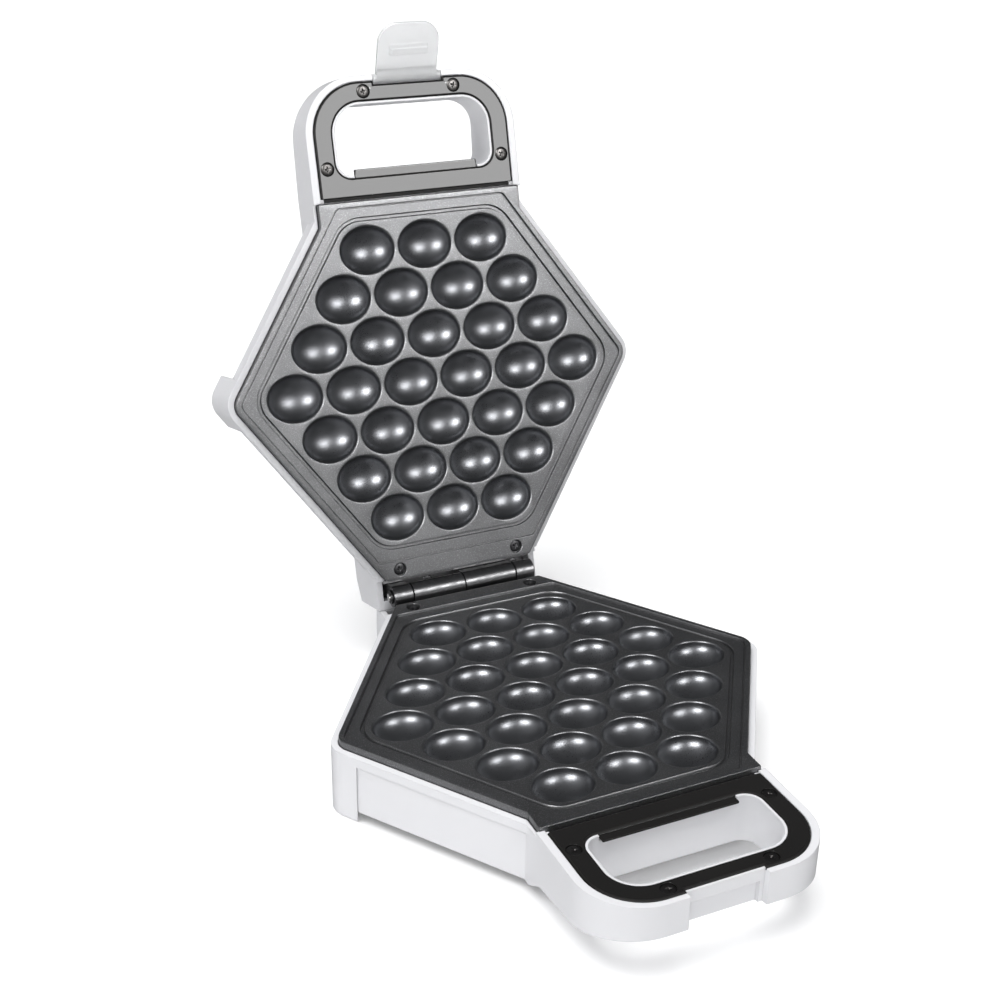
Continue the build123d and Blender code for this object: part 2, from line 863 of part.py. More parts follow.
def latch():
    # Drawn hooked: hub on the pin, plate towards the other half, catch rib behind its bar
    hub_half = latch_notch_half - latch_hub_gap
    body = rod(-hub_half, hub_half, -latch_pivot_y, -latch_pivot_drop, latch_hub_radius)
    tip = latch_length - latch_pivot_drop
    plan = outline(
        [
            (-latch_plate_half, -latch_pivot_drop),
            (-latch_plate_half, tip),
            (latch_plate_half, tip),
            (latch_plate_half, -latch_pivot_drop),
        ]
    )
    plan = fillet(plan.vertices().sort_by(Axis.Y)[-2:], latch_corner)
    inner_face = -catch_bar_face - latch_stand
    face = Plane(origin=(0, inner_face, 0), x_dir=(1, 0, 0), z_dir=(0, -1, 0))
    body += extrude(face * plan, amount=latch_thickness)
    catch = catch_bar_bottom + seat_gap
    rib = [
        (inner_face, catch),
        (inner_face + catch_rib_depth, catch),
        (inner_face + catch_rib_depth, catch + catch_rib_height / 2),
        (inner_face, catch + catch_rib_height),
    ]
    body += side_prism(rib, catch_rib_half)
    return body - rod(
        -hub_half, hub_half, -latch_pivot_y, -latch_pivot_drop, latch_pin_radius + running_gap
    )


def joined(shapes):
    return Part() + shapes if isinstance(shapes, list) else shapes


def turned_over(shape):
    # From a half drawn face up to the opened lid
    return mirror(shape, about=Plane.XY).rotate(hinge_axis, -open_angle)


base_knuckles = ((-barrel_outer, -barrel_inner), (ear_inner, ear_outer))
lid_knuckles = ((-ear_outer, -ear_inner), (barrel_inner, barrel_outer))

base_parts = {
    "base_housing": base_housing(),
    "base_bottom_cover": bottom_cover(),
    "bottom_cover_screws": cover_screws(),
    "rubber_feet": feet(),
    "lower_plate": plate(),
    "lower_plate_screws": plate_screws(),
    "lower_heating_element": heating_element(),
    "lower_heat_shield": heat_shield(),
    "lower_handle_trim": trim(),
    "lower_trim_screws": trim_screw_set(),
    "thermostat": thermostat(),
    "thermal_fuse": thermal_fuse(),
    "terminal_block": terminal_block(),
    "cord_gland": cord_gland(),
    "base_hinge_bracket": hinge_bracket(base_knuckles, 1),
    "base_hinge_screws": hinge_screws(1),
    "hinge_pin": hinge_pin(),
    "pin_retaining_clips": retaining_clips(),
}

lid_parts = {
    "lid_housing": lid_housing(),
    "upper_plate": plate(),
    "upper_plate_screws": plate_screws(),
    "upper_heating_element": heating_element(),
    "upper_heat_shield": heat_shield(),
    "upper_handle_trim": trim(),
    "upper_trim_screws": trim_screw_set(),
    "lid_hinge_bracket": hinge_bracket(lid_knuckles, -1),
    "lid_hinge_screws": hinge_screws(-1),
    "power_lamp": lamp(-lamp_x),
    "ready_lamp": lamp(lamp_x),
    "lamp_board": lamp_board(),
    "latch_pin": latch_pin(),
}

latch_axis = Axis((0, -latch_pivot_y, -latch_pivot_drop), (1, 0, 0))
drawn_latch = latch()
swung_latch = drawn_latch.rotate(latch_axis, latch_rest_lift)

placed = {name: joined(shape) for name, shape in base_parts.items()}
placed.update({name: turned_over(joined(shape)) for name, shape in lid_parts.items()})
placed["latch"] = turned_over(swung_latch)

# The origin is the middle of the footprint, on the table
boxes = [shape.bounding_box() for shape in placed.values()]
middle_y = (min(box.min.Y for box in boxes) + max(box.max.Y for box in boxes)) / 2
to_table = Pos(0, -middle_y, base_height)

os.makedirs("parts", exist_ok=True)
for name, shape in placed.items():
    export_step(to_table * shape, f"parts/{name}.step")
print(f"hinge at y {hinge_y - middle_y:.4f}, z {base_height:.4f}; plate centre at y {-middle_y:.4f}")
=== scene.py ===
import logging
import math
from dataclasses import dataclass, field
from enum import Enum
from typing import Any, ClassVar

import bmesh
import bpy
from mathutils import Matrix, Vector


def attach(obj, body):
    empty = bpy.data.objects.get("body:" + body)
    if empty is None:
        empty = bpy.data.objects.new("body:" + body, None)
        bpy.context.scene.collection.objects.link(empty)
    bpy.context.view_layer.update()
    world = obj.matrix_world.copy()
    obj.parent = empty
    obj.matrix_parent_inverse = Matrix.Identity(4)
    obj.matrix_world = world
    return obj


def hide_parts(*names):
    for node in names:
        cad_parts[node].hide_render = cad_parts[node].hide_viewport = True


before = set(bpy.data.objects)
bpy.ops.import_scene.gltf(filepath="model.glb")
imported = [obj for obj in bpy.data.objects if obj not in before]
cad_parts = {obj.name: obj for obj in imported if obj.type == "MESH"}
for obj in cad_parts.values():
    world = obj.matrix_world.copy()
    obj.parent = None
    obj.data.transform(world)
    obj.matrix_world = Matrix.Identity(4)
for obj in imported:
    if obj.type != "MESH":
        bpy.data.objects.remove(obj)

LOG = logging.getLogger("waffle_maker")
MM = 0.001
Loop = list[tuple[float, float]]
Profile = tuple[tuple[float, float], ...]
Colour = tuple[float, float, float]
Ring = list[bmesh.types.BMVert]

# Millimetres and degrees, in the face-up drawing of a half.
PARTING_HEIGHT = 38.0
MIDDLE_SHIFT = -22.9002
HINGE_Y = 109.22
OPEN_ANGLE = 106.0

# Places of the screws (X and Y) and the levels that their heads sit on.
PLATE_SCREW = (33.3, 95.82)
PLATE_SCREW_SEAT = -2.45
HINGE_SCREW_X = (-35.0, 15.0)
HINGE_SCREW_Y = 107.82
HINGE_SCREW_SEAT = -12.5
COVER_SCREW = (63.45, 60.0)
COVER_SCREW_SEAT = -31.9

# The round seats that the screw heads sink into.
SINK_RADIUS = 3.45
SINK_HOLE = 1.55
SINK_SIDES = 32

HOLLOW = "hollow"
CORNER_STEPS = 12
SHADING_WEIGHT = 80


class Half(Enum):
    """The two halves of the appliance, each drawn face up with its parting plane at z = 0."""

    BASE = "base"
    LID = "lid"

    def matrix(self) -> Matrix:
        """Places a half drawn in millimetres in the row frame, in metres.

        Returns:
            The matrix from the face-up drawing to the frame at rest.
        """
        place = Matrix.Scale(MM, 4) @ Matrix.Translation((0.0, MIDDLE_SHIFT, PARTING_HEIGHT))
        if self is Half.BASE:
            return place
        hinge = Matrix.Translation((0.0, HINGE_Y, 0.0))
        swing = hinge @ Matrix.Rotation(math.radians(-OPEN_ANGLE), 4, "X") @ hinge.inverted()
        return place @ swing @ Matrix.Scale(-1.0, 4, (0.0, 0.0, 1.0))


class Signal:
    """A shader socket that takes part in Python arithmetic."""

    def __init__(self, tree: "ShaderTree", socket: bpy.types.NodeSocket) -> None:
        """Wraps an output socket of a tree."""
        self.tree = tree
        self.socket = socket

    def _combine(self, operation: str, first: Any, second: Any) -> "Signal":
        """Adds the node for one operation on two values.

        Args:
            operation: Name of the Math or Vector Math operation.
            first: Left operand, a signal or a number.
            second: Right operand, a signal or a number.

        Returns:
            The result as a signal.
        """
        kind = "ShaderNodeMath" if self.socket.type == "VALUE" else "ShaderNodeVectorMath"
        return self.tree.node(kind, {"operation": operation}, {0: first, 1: second})

    def __add__(self, other: Any) -> "Signal":
        """Sum with a signal or number."""
        return self._combine("ADD", self, other)

    def __radd__(self, other: Any) -> "Signal":
        """Sum with a number on the left."""
        return self._combine("ADD", other, self)

    def __sub__(self, other: Any) -> "Signal":
        """Difference with a signal or number."""
        return self._combine("SUBTRACT", self, other)

    def __rsub__(self, other: Any) -> "Signal":
        """Difference from a number on the left."""
        return self._combine("SUBTRACT", other, self)

    def __mul__(self, other: Any) -> "Signal":
        """Product with a signal or number."""
        return self._combine("MULTIPLY", self, other)

    def __rmul__(self, other: Any) -> "Signal":
        """Product with a number on the left."""
        return self._combine("MULTIPLY", other, self)


class ShaderTree:
    """The node tree of one material or world, built from Python expressions."""

    def __init__(self, owner: bpy.types.ID) -> None:
        """Starts an empty tree on a new material or world.

        Args:
            owner: The material or world.
        """
        self.owner = owner
        self.owner.use_nodes = True
        self.nodes = self.owner.node_tree.nodes
        self.links = self.owner.node_tree.links
        self.nodes.clear()

    def node(
        self,
        kind: str,
        settings: dict[str, Any] | None = None,
        inputs: dict[Any, Any] | None = None,
        output: Any = 0,
    ) -> Signal:
        """Adds any node.

        Args:
            kind: Blender's node type.
            settings: Properties that are set first; "stops" holds a ramp's (place, colour) pairs.
            inputs: Values or signals by socket name or number.
            output: The output socket that is wanted.

        Returns:
            That output as a signal.
        """
        made = self.nodes.new(kind)
        for key, value in (settings or {}).items():
            if key == "stops":
                ramp = made.color_ramp
                while len(ramp.elements) < len(value):
                    ramp.elements.new(0.5)
                for element, (place, colour) in zip(ramp.elements, value):
                    element.position = place
                    element.color = (*colour, 1.0)
            else:
                setattr(made, key, value)
        for key, value in (inputs or {}).items():
            self.feed(made.inputs[key], value)
        return Signal(self, made.outputs[output])

    def feed(self, socket: bpy.types.NodeSocket, value: Any) -> None:
        """Links a signal to a socket, or sets its value.

        Args:
            socket: The input socket.
            value: A signal, a number, or a colour with or without its alpha.
        """
        if isinstance(value, Signal):
            self.links.new(value.socket, socket)
            return
        if isinstance(value, (tuple, list)) and socket.type == "RGBA" and len(value) == 3:
            value = (*value, 1.0)
        socket.default_value = value

    def place(self) -> Signal:
        """The point on the object, in metres."""
        return self.node("ShaderNodeTexCoord", output="Object")

    def attribute(self, name: str) -> Signal:
        """A number that the mesh holds at its points."""
        return self.node("ShaderNodeAttribute", {"attribute_name": name}, None, "Fac")

    def noise(
        self, scale: float, detail: float = 2.0, stretch: Colour = (1.0, 1.0, 1.0)
    ) -> Signal:
        """Noise from 0 to 1.

        Args:
            scale: Features per metre.
            detail: Octaves.
            stretch: Factors on the three axes.

        Returns:
            The noise value.
        """
        spot = self.place() * stretch
        inputs = {"Vector": spot, "Scale": scale, "Detail": detail}
        return self.node("ShaderNodeTexNoise", {"noise_dimensions": "3D"}, inputs, "Fac")

    def band(self, value: Signal, low: float, high: float) -> Signal:
        """Maps low to high onto 0 to 1, smoothly and clamped.

        Args:
            value: The value to map.
            low: What becomes 0.
            high: What becomes 1.

        Returns:
            The mapped value.
        """
        settings = {"interpolation_type": "SMOOTHSTEP"}
        inputs = {"Value": value, "From Min": low, "From Max": high}
        return self.node("ShaderNodeMapRange", settings, inputs)

    def mix(self, share: Signal, first: Any, second: Any) -> Signal:
        """Mixes two colours by a share."""
        settings = {"data_type": "RGBA", "clamp_factor": True}
        return self.node("ShaderNodeMix", settings, {0: share, 6: first, 7: second}, 2)

    def soft_edges(self, radius: float) -> Signal:
        """Normals as if each edge had this radius, in metres."""
        return self.node("ShaderNodeBevel", {"samples": 6}, {"Radius": radius})

    def bump(self, height: Signal, depth: float, normal: Signal | None = None) -> Signal:
        """A bump of a real depth.

        Args:
            height: Height from 0 to 1.
            depth: Depth in metres.
            normal: Normal that it starts from.

        Returns:
            The bumped normal.
        """
        inputs: dict[Any, Any] = {"Height": height, "Strength": 1.0, "Distance": depth}
        if normal is not None:
            inputs["Normal"] = normal
        return self.node("ShaderNodeBump", None, inputs)

    def surface(self, constants: dict[str, Any], varied: dict[str, Signal]) -> bpy.types.Material:
        """Ends the tree with the main shader.

        Args:
            constants: Sockets that are the same all over.
            varied: Sockets that change over the surface.

        Returns:
            The finished material.
        """
        shader = self.node("ShaderNodeBsdfPrincipled", None, {**constants, **varied})
        self.node_out(shader, "ShaderNodeOutputMaterial")
        return self.owner

    def node_out(self, shader: Signal, kind: str) -> None:
        """Links a shader to the owner's output node."""
        out = self.nodes.new(kind)
        self.links.new(shader.socket, out.inputs["Surface"])


def tinted(colour: Colour, factor: float) -> Colour:
    """A colour with its channels multiplied by a factor."""
    return tuple(channel * factor for channel in colour)


@dataclass(frozen=True)
class Finish:
    """A finish that dresses pieces; each makes its material once.

    Scales of its grain are in features per metre, depths and radii in metres.
    """

    name: str
    made: ClassVar[dict[str, bpy.types.Material]] = {}

    def compose(self, tree: ShaderTree) -> bpy.types.Material:
        """Builds the node tree; each finish has its own."""
        raise NotImplementedError

    def material(self) -> bpy.types.Material:
        """The material, made on first use.

        Returns:
            The material, which every piece of this finish shares.
        """
        if self.name not in Finish.made:
            Finish.made[self.name] = self.compose(ShaderTree(bpy.data.materials.new(self.name)))
        return Finish.made[self.name]

    def dress(self, piece: bpy.types.Object) -> None:
        """Gives a piece this finish and no other.

        Args:
            piece: The piece.
        """
        if not piece.material_slots:
            piece.data.materials.append(self.material())
        for entry in piece.material_slots:
            entry.material = self.material()


@dataclass(frozen=True)
class MouldedPlastic(Finish):
    """Injection-moulded plastic with soft edges and a faint ripple of the mould."""

    colour: Colour = (0.74, 0.740, 0.758)
    roughness: float = 0.30
    ripple: float = 0.000003
    ripple_scale: float = 420.0
    edge: float = 0.0007
    coat: float = 0.25
    coat_roughness: float = 0.12
    specular: float = 0.5
    shade: float = 0.98
    drift_scale: float = 14.0
    haze_scale: float = 60.0
    haze_share: float = 0.05
    dust_scale: float = 2600.0
    dust_share: float = 0.03

    def compose(self, tree: ShaderTree) -> bpy.types.Material:
        """Colour drifts a little, and handling leaves the gloss uneven.

        Args:
            tree: The empty tree of the material.

        Returns:
            The material.
        """
        drift = tree.band(tree.noise(self.drift_scale, 3.0), 0.3, 0.7)
        colour = tree.mix(drift, tinted(self.colour, self.shade), self.colour)
        haze = self.haze_share * (tree.noise(self.haze_scale, 5.0) - 0.5)
        dust = self.dust_share * tree.band(tree.noise(self.dust_scale, 1.0), 0.68, 0.8)
        wave = tree.noise(self.ripple_scale, 2.0)
        normal = tree.bump(wave, self.ripple, tree.soft_edges(self.edge))
        constants = {
            "Coat Weight": self.coat,
            "Coat Roughness": self.coat_roughness,
            "Specular IOR Level": self.specular,
        }
        roughness = self.roughness + haze + dust
        return tree.surface(
            constants, {"Base Color": colour, "Roughness": roughness, "Normal": normal}
        )


@dataclass(frozen=True)
class NonStick(Finish):
    """Sprayed non-stick coating on cast metal.

    It is grey with a fine pale speckle, and smooth and black in the bubbles, the black being partly
    the coating's own dark and partly painted shade of the hollows.
    """

    dark: Colour = (0.145, 0.146, 0.149)
    pale: Colour = (0.32, 0.322, 0.326)
    # Colour of the bubbles: the coating's own dark, kept darker than the speckled field as painted
    # shade of the hollows.
    hollow: Colour = (0.130, 0.133, 0.140)
    roughness: float = 0.40
    hollow_roughness: float = 0.34
    metallic: float = 0.92
    specular: float = 0.5
    coat: float = 0.1
    coat_roughness: float = 0.3
    cloud_scale: float = 35.0
    cloud_shade: float = 1.2
    cloud_share: float = 0.05
    speckle_scale: float = 2400.0
    speckle_cover: float = 0.8
    speckle_share: float = 0.06
    peel_scale: float = 1500.0
    peel_share: float = 0.10
    peel_relief: float = 0.75
    pit_scale: float = 5200.0
    pit_relief: float = 0.25
    hollow_polish: float = 0.7
    relief: float = 0.00003
    edge: float = 0.0003

    def compose(self, tree: ShaderTree) -> bpy.types.Material:
        """Speckle in the colour, orange peel in the normal, both fading out inside the bubbles,
        where a darker colour paints in their shade.

        Args:
            tree: The empty tree of the material.

        Returns:
            The material.
        """
        inside = tree.attribute(HOLLOW)
        cloud = tree.band(tree.noise(self.cloud_scale, 3.0), 0.3, 0.7)
        ground = tree.mix(cloud, self.dark, tinted(self.dark, self.cloud_shade))
        speckle = tree.band(tree.noise(self.speckle_scale, 1.0), 0.56, 0.70)
        grey = tree.mix(speckle * self.speckle_cover, ground, self.pale)
        # Painted shade: inside the bubbles the speckled grey gives way to the darker hollow colour.
        colour = tree.mix(inside, grey, self.hollow)
        peel = tree.noise(self.peel_scale, 3.0)
        pit = tree.band(tree.noise(self.pit_scale, 1.0), 0.3, 0.62)
        grain = self.peel_share * (peel - 0.5) - self.speckle_share * speckle
        grain = grain + self.cloud_share * (cloud - 0.5)
        smoother = self.roughness - self.hollow_roughness
        roughness = self.roughness + grain - inside * smoother
        height = peel * self.peel_relief + self.pit_relief * pit
        height = height * (1.0 - self.hollow_polish * inside)
        normal = tree.bump(height, self.relief, tree.soft_edges(self.edge))
        constants = {
            "Metallic": self.metallic,
            "Specular IOR Level": self.specular,
            "Coat Weight": self.coat,
            "Coat Roughness": self.coat_roughness,
        }
        return tree.surface(
            constants, {"Base Color": colour, "Roughness": roughness, "Normal": normal}
        )


@dataclass(frozen=True)
class PianoBlack(Finish):
    """Polished black trim with hairline scratches, matt on the flanks that the polish misses."""

    colour: Colour = (0.008, 0.0075, 0.007)
    roughness: float = 0.045
    flank_share: float = 0.5
    haze_scale: float = 40.0
    haze_shade: float = 1.5
    haze_share: float = 0.05
    scratch_scale: float = 900.0
    scratch_stretch: float = 0.03
    scratch_share: float = 0.05
    wave_scale: float = 90.0
    wave: float = 0.000012
    edge: float = 0.0004
    coat_roughness: float = 0.03
    coat_ior: float = 1.48
    specular: float = 0.2

    def compose(self, tree: ShaderTree) -> bpy.types.Material:
        """Fine scratches and a faint haze on a mirror gloss.

        Args:
            tree: The empty tree of the material.

        Returns:
            The material.
        """
        thin = self.scratch_stretch
        across = tree.noise(self.scratch_scale, 2.0, (1.0, thin, thin))
        along = tree.noise(self.scratch_scale, 2.0, (thin, 1.0, 1.0))
        scratch = tree.band(across, 0.66, 0.70) + tree.band(along, 0.68, 0.72)
        haze = tree.noise(self.haze_scale, 4.0)
        flank = tree.attribute(HOLLOW)
        roughness = self.roughness + self.haze_share * haze
        roughness = roughness + self.scratch_share * scratch + self.flank_share * flank
        colour = tree.mix(haze, self.colour, tinted(self.colour, self.haze_shade))
        wave = tree.noise(self.wave_scale, 1.0)
        normal = tree.bump(wave, self.wave, tree.soft_edges(self.edge))
        constants = {
            "Coat Roughness": self.coat_roughness,
            "Coat IOR": self.coat_ior,
            "Specular IOR Level": self.specular,
        }
        varied = {
            "Base Color": colour,
            "Roughness": roughness,
            "Coat Weight": 1.0 - flank,
            "Normal": normal,
        }
        return tree.surface(constants, varied)


@dataclass(frozen=True)
class MilkyPlastic(Finish):
    """Milky see-through plastic of the latch."""

    colour: Colour = (0.88, 0.885, 0.89)
    shade: float = 0.93
    roughness: float = 0.26
    satin_scale: float = 700.0
    satin_share: float = 0.12
    cloud_scale: float = 180.0
    skin_scale: float = 1100.0
    skin: float = 0.000015
    transmission: float = 0.4
    ior: float = 1.47
    scatter: float = 0.25
    scatter_depth: float = 0.004

    def compose(self, tree: ShaderTree) -> bpy.types.Material:
        """Cloudy body with a satin skin.

        Args:
            tree: The empty tree of the material.

        Returns:
            The material.
        """
        cloud = tree.noise(self.cloud_scale, 3.0)
        colour = tree.mix(cloud, tinted(self.colour, self.shade), self.colour)
        roughness = self.roughness + self.satin_share * tree.noise(self.satin_scale, 2.0)
        normal = tree.bump(tree.noise(self.skin_scale, 2.0), self.skin)
        constants = {
            "Transmission Weight": self.transmission,
            "IOR": self.ior,
            "Subsurface Weight": self.scatter,
            "Subsurface Radius": (self.scatter_depth, self.scatter_depth, self.scatter_depth),
            "Subsurface Scale": 1.0,
        }
        return tree.surface(
            constants, {"Base Color": colour, "Roughness": roughness, "Normal": normal}
        )


@dataclass(frozen=True)
class TurnedMetal(Finish):
    """Bare or blackened metal of screws, pins, clips and brackets, with fine tool marks."""

    colour: Colour = (0.42, 0.41, 0.40)
    roughness: float = 0.24
    stretch: Colour = (1.0, 1.0, 1.0)
    mark_scale: float = 3200.0
    mark_share: float = 0.14
    marks: float = 0.000012
    tarnish_scale: float = 260.0
    tarnish_shade: float = 0.72
    tarnish_share: float = 0.08
    edge: float = 0.0002

    def compose(self, tree: ShaderTree) -> bpy.types.Material:
        """Tool marks in the gloss and the normal, tarnish in the colour.

        Args:
            tree: The empty tree of the material.

        Returns:
            The material.
        """
        marks = tree.noise(self.mark_scale, 2.0, self.stretch)
        tarnish = tree.band(tree.noise(self.tarnish_scale, 3.0), 0.35, 0.75)
        colour = tree.mix(tarnish, self.colour, tinted(self.colour, self.tarnish_shade))
        roughness = self.roughness + self.mark_share * marks + self.tarnish_share * tarnish
        normal = tree.bump(marks, self.marks, tree.soft_edges(self.edge))
        varied = {"Base Color": colour, "Roughness": roughness, "Normal": normal}
        return tree.surface({"Metallic": 1.0}, varied)


@dataclass(frozen=True)
class HeatedSheath(Finish):
    """Steel sheath of the element, browned by heat."""

    cold: Colour = (0.10, 0.09, 0.09)
    brown: Colour = (0.20, 0.15, 0.12)
    steel: Colour = (0.30, 0.29, 0.30)
    tint_scale: float = 48.0
    roughness: float = 0.38
    drawn_scale: float = 900.0
    drawn_share: float = 0.3
    grain_scale: float = 1800.0
    grain: float = 0.00003
    metallic: float = 0.9

    def compose(self, tree: ShaderTree) -> bpy.types.Material:
        """Heat tint in patches over drawn steel.

        Args:
            tree: The empty tree of the material.

        Returns:
            The material.
        """
        tint = tree.noise(self.tint_scale, 4.0)
        stops = [(0.3, self.cold), (0.5, self.brown), (0.72, self.steel)]
        colour = tree.node("ShaderNodeValToRGB", {"stops": stops}, {"Fac": tint}, "Color")
        roughness = self.roughness + self.drawn_share * tree.noise(self.drawn_scale, 3.0)
        normal = tree.bump(tree.noise(self.grain_scale, 2.0), self.grain)
        varied = {"Base Color": colour, "Roughness": roughness, "Normal": normal}
        return tree.surface({"Metallic": self.metallic}, varied)


@dataclass(frozen=True)
class BrightSheet(Finish):
    """Rolled aluminium sheet of the reflector dishes."""

    bright: Colour = (0.78, 0.78, 0.79)
    hazed: Colour = (0.60, 0.57, 0.52)
    roughness: float = 0.22
    rolled_scale: float = 1600.0
    rolled_stretch: Colour = (0.02, 1.0, 1.0)
    rolled_share: float = 0.2
    haze_scale: float = 22.0
    haze_share: float = 0.15
    marks: float = 0.00001
    edge: float = 0.0003

    def compose(self, tree: ShaderTree) -> bpy.types.Material:
        """Rolling marks along X and a slight heat haze.

        Args:
            tree: The empty tree of the material.

        Returns:
            The material.
        """
        rolled = tree.noise(self.rolled_scale, 2.0, self.rolled_stretch)
        haze = tree.band(tree.noise(self.haze_scale, 3.0), 0.4, 0.8)
        colour = tree.mix(haze, self.bright, self.hazed)
        roughness = self.roughness + self.rolled_share * rolled + self.haze_share * haze
        normal = tree.bump(rolled, self.marks, tree.soft_edges(self.edge))
        varied = {"Base Color": colour, "Roughness": roughness, "Normal": normal}
        return tree.surface({"Metallic": 1.0}, varied)


@dataclass(frozen=True)
class FootRubber(Finish):
    """Matt rubber with dust in its pores."""

    colour: Colour = (0.018, 0.018, 0.018)
    dusty: Colour = (0.06, 0.058, 0.055)
    roughness: float = 0.72
    pore_scale: float = 2800.0
    pore_share: float = 0.2
    pores: float = 0.00006
    dust_scale: float = 320.0
    edge: float = 0.0004
    specular: float = 0.35

    def compose(self, tree: ShaderTree) -> bpy.types.Material:
        """Pores in the normal, dust in the colour.

        Args:
            tree: The empty tree of the material.

        Returns:
            The material.
        """
        pores = tree.noise(self.pore_scale, 3.0)
        dust = tree.band(tree.noise(self.dust_scale, 4.0), 0.5, 0.8)
        colour = tree.mix(dust, self.colour, self.dusty)
        normal = tree.bump(pores, self.pores, tree.soft_edges(self.edge))
        roughness = self.roughness + self.pore_share * pores
        varied = {"Base Color": colour, "Roughness": roughness, "Normal": normal}
        return tree.surface({"Specular IOR Level": self.specular}, varied)


@dataclass(frozen=True)
class FiredBody(Finish):
    """Fired ceramic or phenolic body of the inner electrical pieces."""

    colour: Colour = (0.72, 0.70, 0.64)
    shade: float = 0.9
    speck_colour: Colour = (0.16, 0.13, 0.10)
    speck_scale: float = 900.0
    speck_cover: float = 0.6
    roughness: float = 0.5
    grain_scale: float = 1900.0
    grain_share: float = 0.25
    grain: float = 0.00004
    edge: float = 0.0003

    def compose(self, tree: ShaderTree) -> bpy.types.Material:
        """Grainy body with a few dark specks.

        Args:
            tree: The empty tree of the material.

        Returns:
            The material.
        """
        grain = tree.noise(self.grain_scale, 4.0)
        speck = tree.band(tree.noise(self.speck_scale, 1.0), 0.70, 0.74)
        body = tree.mix(grain, tinted(self.colour, self.shade), self.colour)
        colour = tree.mix(speck * self.speck_cover, body, self.speck_colour)
        normal = tree.bump(grain, self.grain, tree.soft_edges(self.edge))
        roughness = self.roughness + self.grain_share * grain
        return tree.surface({}, {"Base Color": colour, "Roughness": roughness, "Normal": normal})


@dataclass(frozen=True)
class LampGlass(Finish):
    """Coloured clear plastic of an indicator lens."""

    colour: Colour = (0.6, 0.03, 0.02)
    shade: float = 0.55
    roughness: float = 0.1
    haze_scale: float = 700.0
    haze_share: float = 0.1
    facet_scale: float = 900.0
    facets: float = 0.00004
    edge: float = 0.0005
    transmission: float = 0.3
    coat: float = 0.6
    coat_roughness: float = 0.05

    def compose(self, tree: ShaderTree) -> bpy.types.Material:
        """Facets under the skin scatter the colour a little.

        Args:
            tree: The empty tree of the material.

        Returns:
            The material.
        """
        inputs = {"Vector": tree.place(), "Scale": self.facet_scale}
        facets = tree.node("ShaderNodeTexVoronoi", None, inputs, "Distance")
        depth = tree.band(facets, 0.1, 0.6)
        colour = tree.mix(depth, self.colour, tinted(self.colour, self.shade))
        normal = tree.bump(facets, self.facets, tree.soft_edges(self.edge))
        constants = {
            "Transmission Weight": self.transmission,
            "Coat Weight": self.coat,
            "Coat Roughness": self.coat_roughness,
        }
        roughness = self.roughness + self.haze_share * tree.noise(self.haze_scale, 2.0)
        return tree.surface(
            constants, {"Base Color": colour, "Roughness": roughness, "Normal": normal}
        )


@dataclass(frozen=True)
class MattPaint(Finish):
    """Matt paint of the studio that glows a little by itself."""

    first: Colour = (0.88, 0.88, 0.88)
    second: Colour = (0.90, 0.90, 0.90)
    tone_scale: float = 3.0
    glow: float = 0.16
    specular: float = 0.2
    roughness: float = 0.6
    uneven_scale: float = 8.0
    uneven_share: float = 0.1

    def compose(self, tree: ShaderTree) -> bpy.types.Material:
        """A hardly uneven coat of paint.

        Args:
            tree: The empty tree of the material.

        Returns:
            The material.
        """
        tone = tree.mix(tree.noise(self.tone_scale, 2.0), self.first, self.second)
        roughness = self.roughness + self.uneven_share * tree.noise(self.uneven_scale)
        constants = {
            "Specular IOR Level": self.specular,
            "Emission Color": (1.0, 1.0, 1.0, 1.0),
            "Emission Strength": self.glow,
        }
        return tree.surface(constants, {"Base Color": tone, "Roughness": roughness})


WHITE_SHELL = MouldedPlastic("white_shell")
BLACK_BRACKET = TurnedMetal(
    "black_bracket", colour=(0.15, 0.15, 0.153), roughness=0.26, stretch=(0.05, 1.0, 1.0)
)
DARK_COVER = MouldedPlastic(
    "dark_cover",
    colour=(0.028, 0.028, 0.029),
    roughness=0.55,
    ripple=0.00006,
    ripple_scale=1900.0,
    edge=0.0006,
    coat=0.0,
    specular=0.4,
)
COATING = NonStick("plate_coating")
TRIM_GLOSS = PianoBlack("trim_gloss")
LATCH_MILK = MilkyPlastic("latch_milk")
TRIM_SCREW = TurnedMetal("trim_screw", colour=(0.115, 0.11, 0.107), roughness=0.22)
DARK_SCREW = TurnedMetal("dark_screw", colour=(0.05, 0.05, 0.052), roughness=0.30)
PIN_STEEL = TurnedMetal(
    "pin_steel", colour=(0.52, 0.51, 0.50), roughness=0.2, stretch=(0.03, 1.0, 1.0)
)
SHEATH = HeatedSheath("element_sheath")
REFLECTOR = BrightSheet("reflector_sheet")
RUBBER = FootRubber("foot_rubber")
CERAMIC = FiredBody("fired_ceramic")
LAMINATE = FiredBody("board_laminate", colour=(0.45, 0.31, 0.12))
RED_LENS = LampGlass("red_lens", colour=(0.55, 0.02, 0.012))
GREEN_LENS = LampGlass("green_lens", colour=(0.02, 0.34, 0.06))
FLOOR_PAINT = MattPaint("floor_paint")
WALL_PAINT = MattPaint(
    "wall_paint",
    first=(0.10, 0.10, 0.10),
    second=(0.12, 0.12, 0.12),
    tone_scale=2.0,
    glow=0.95,
    specular=0.0,
)


def around(sides: int) -> list[float]:
    """The angles of a circle's equal divisions."""
    return [2 * math.pi * k / sides for k in range(sides)]


def quarter(step: int, steps: int) -> float:
    """The angle of one step of a quarter turn."""
    return math.pi / 2 * step / steps


def circle(radius: float, sides: int, x: float = 0.0, y: float = 0.0) -> Loop:
    """The points of a circle."""
    return [(x + radius * math.cos(a), y + radius * math.sin(a)) for a in around(sides)]


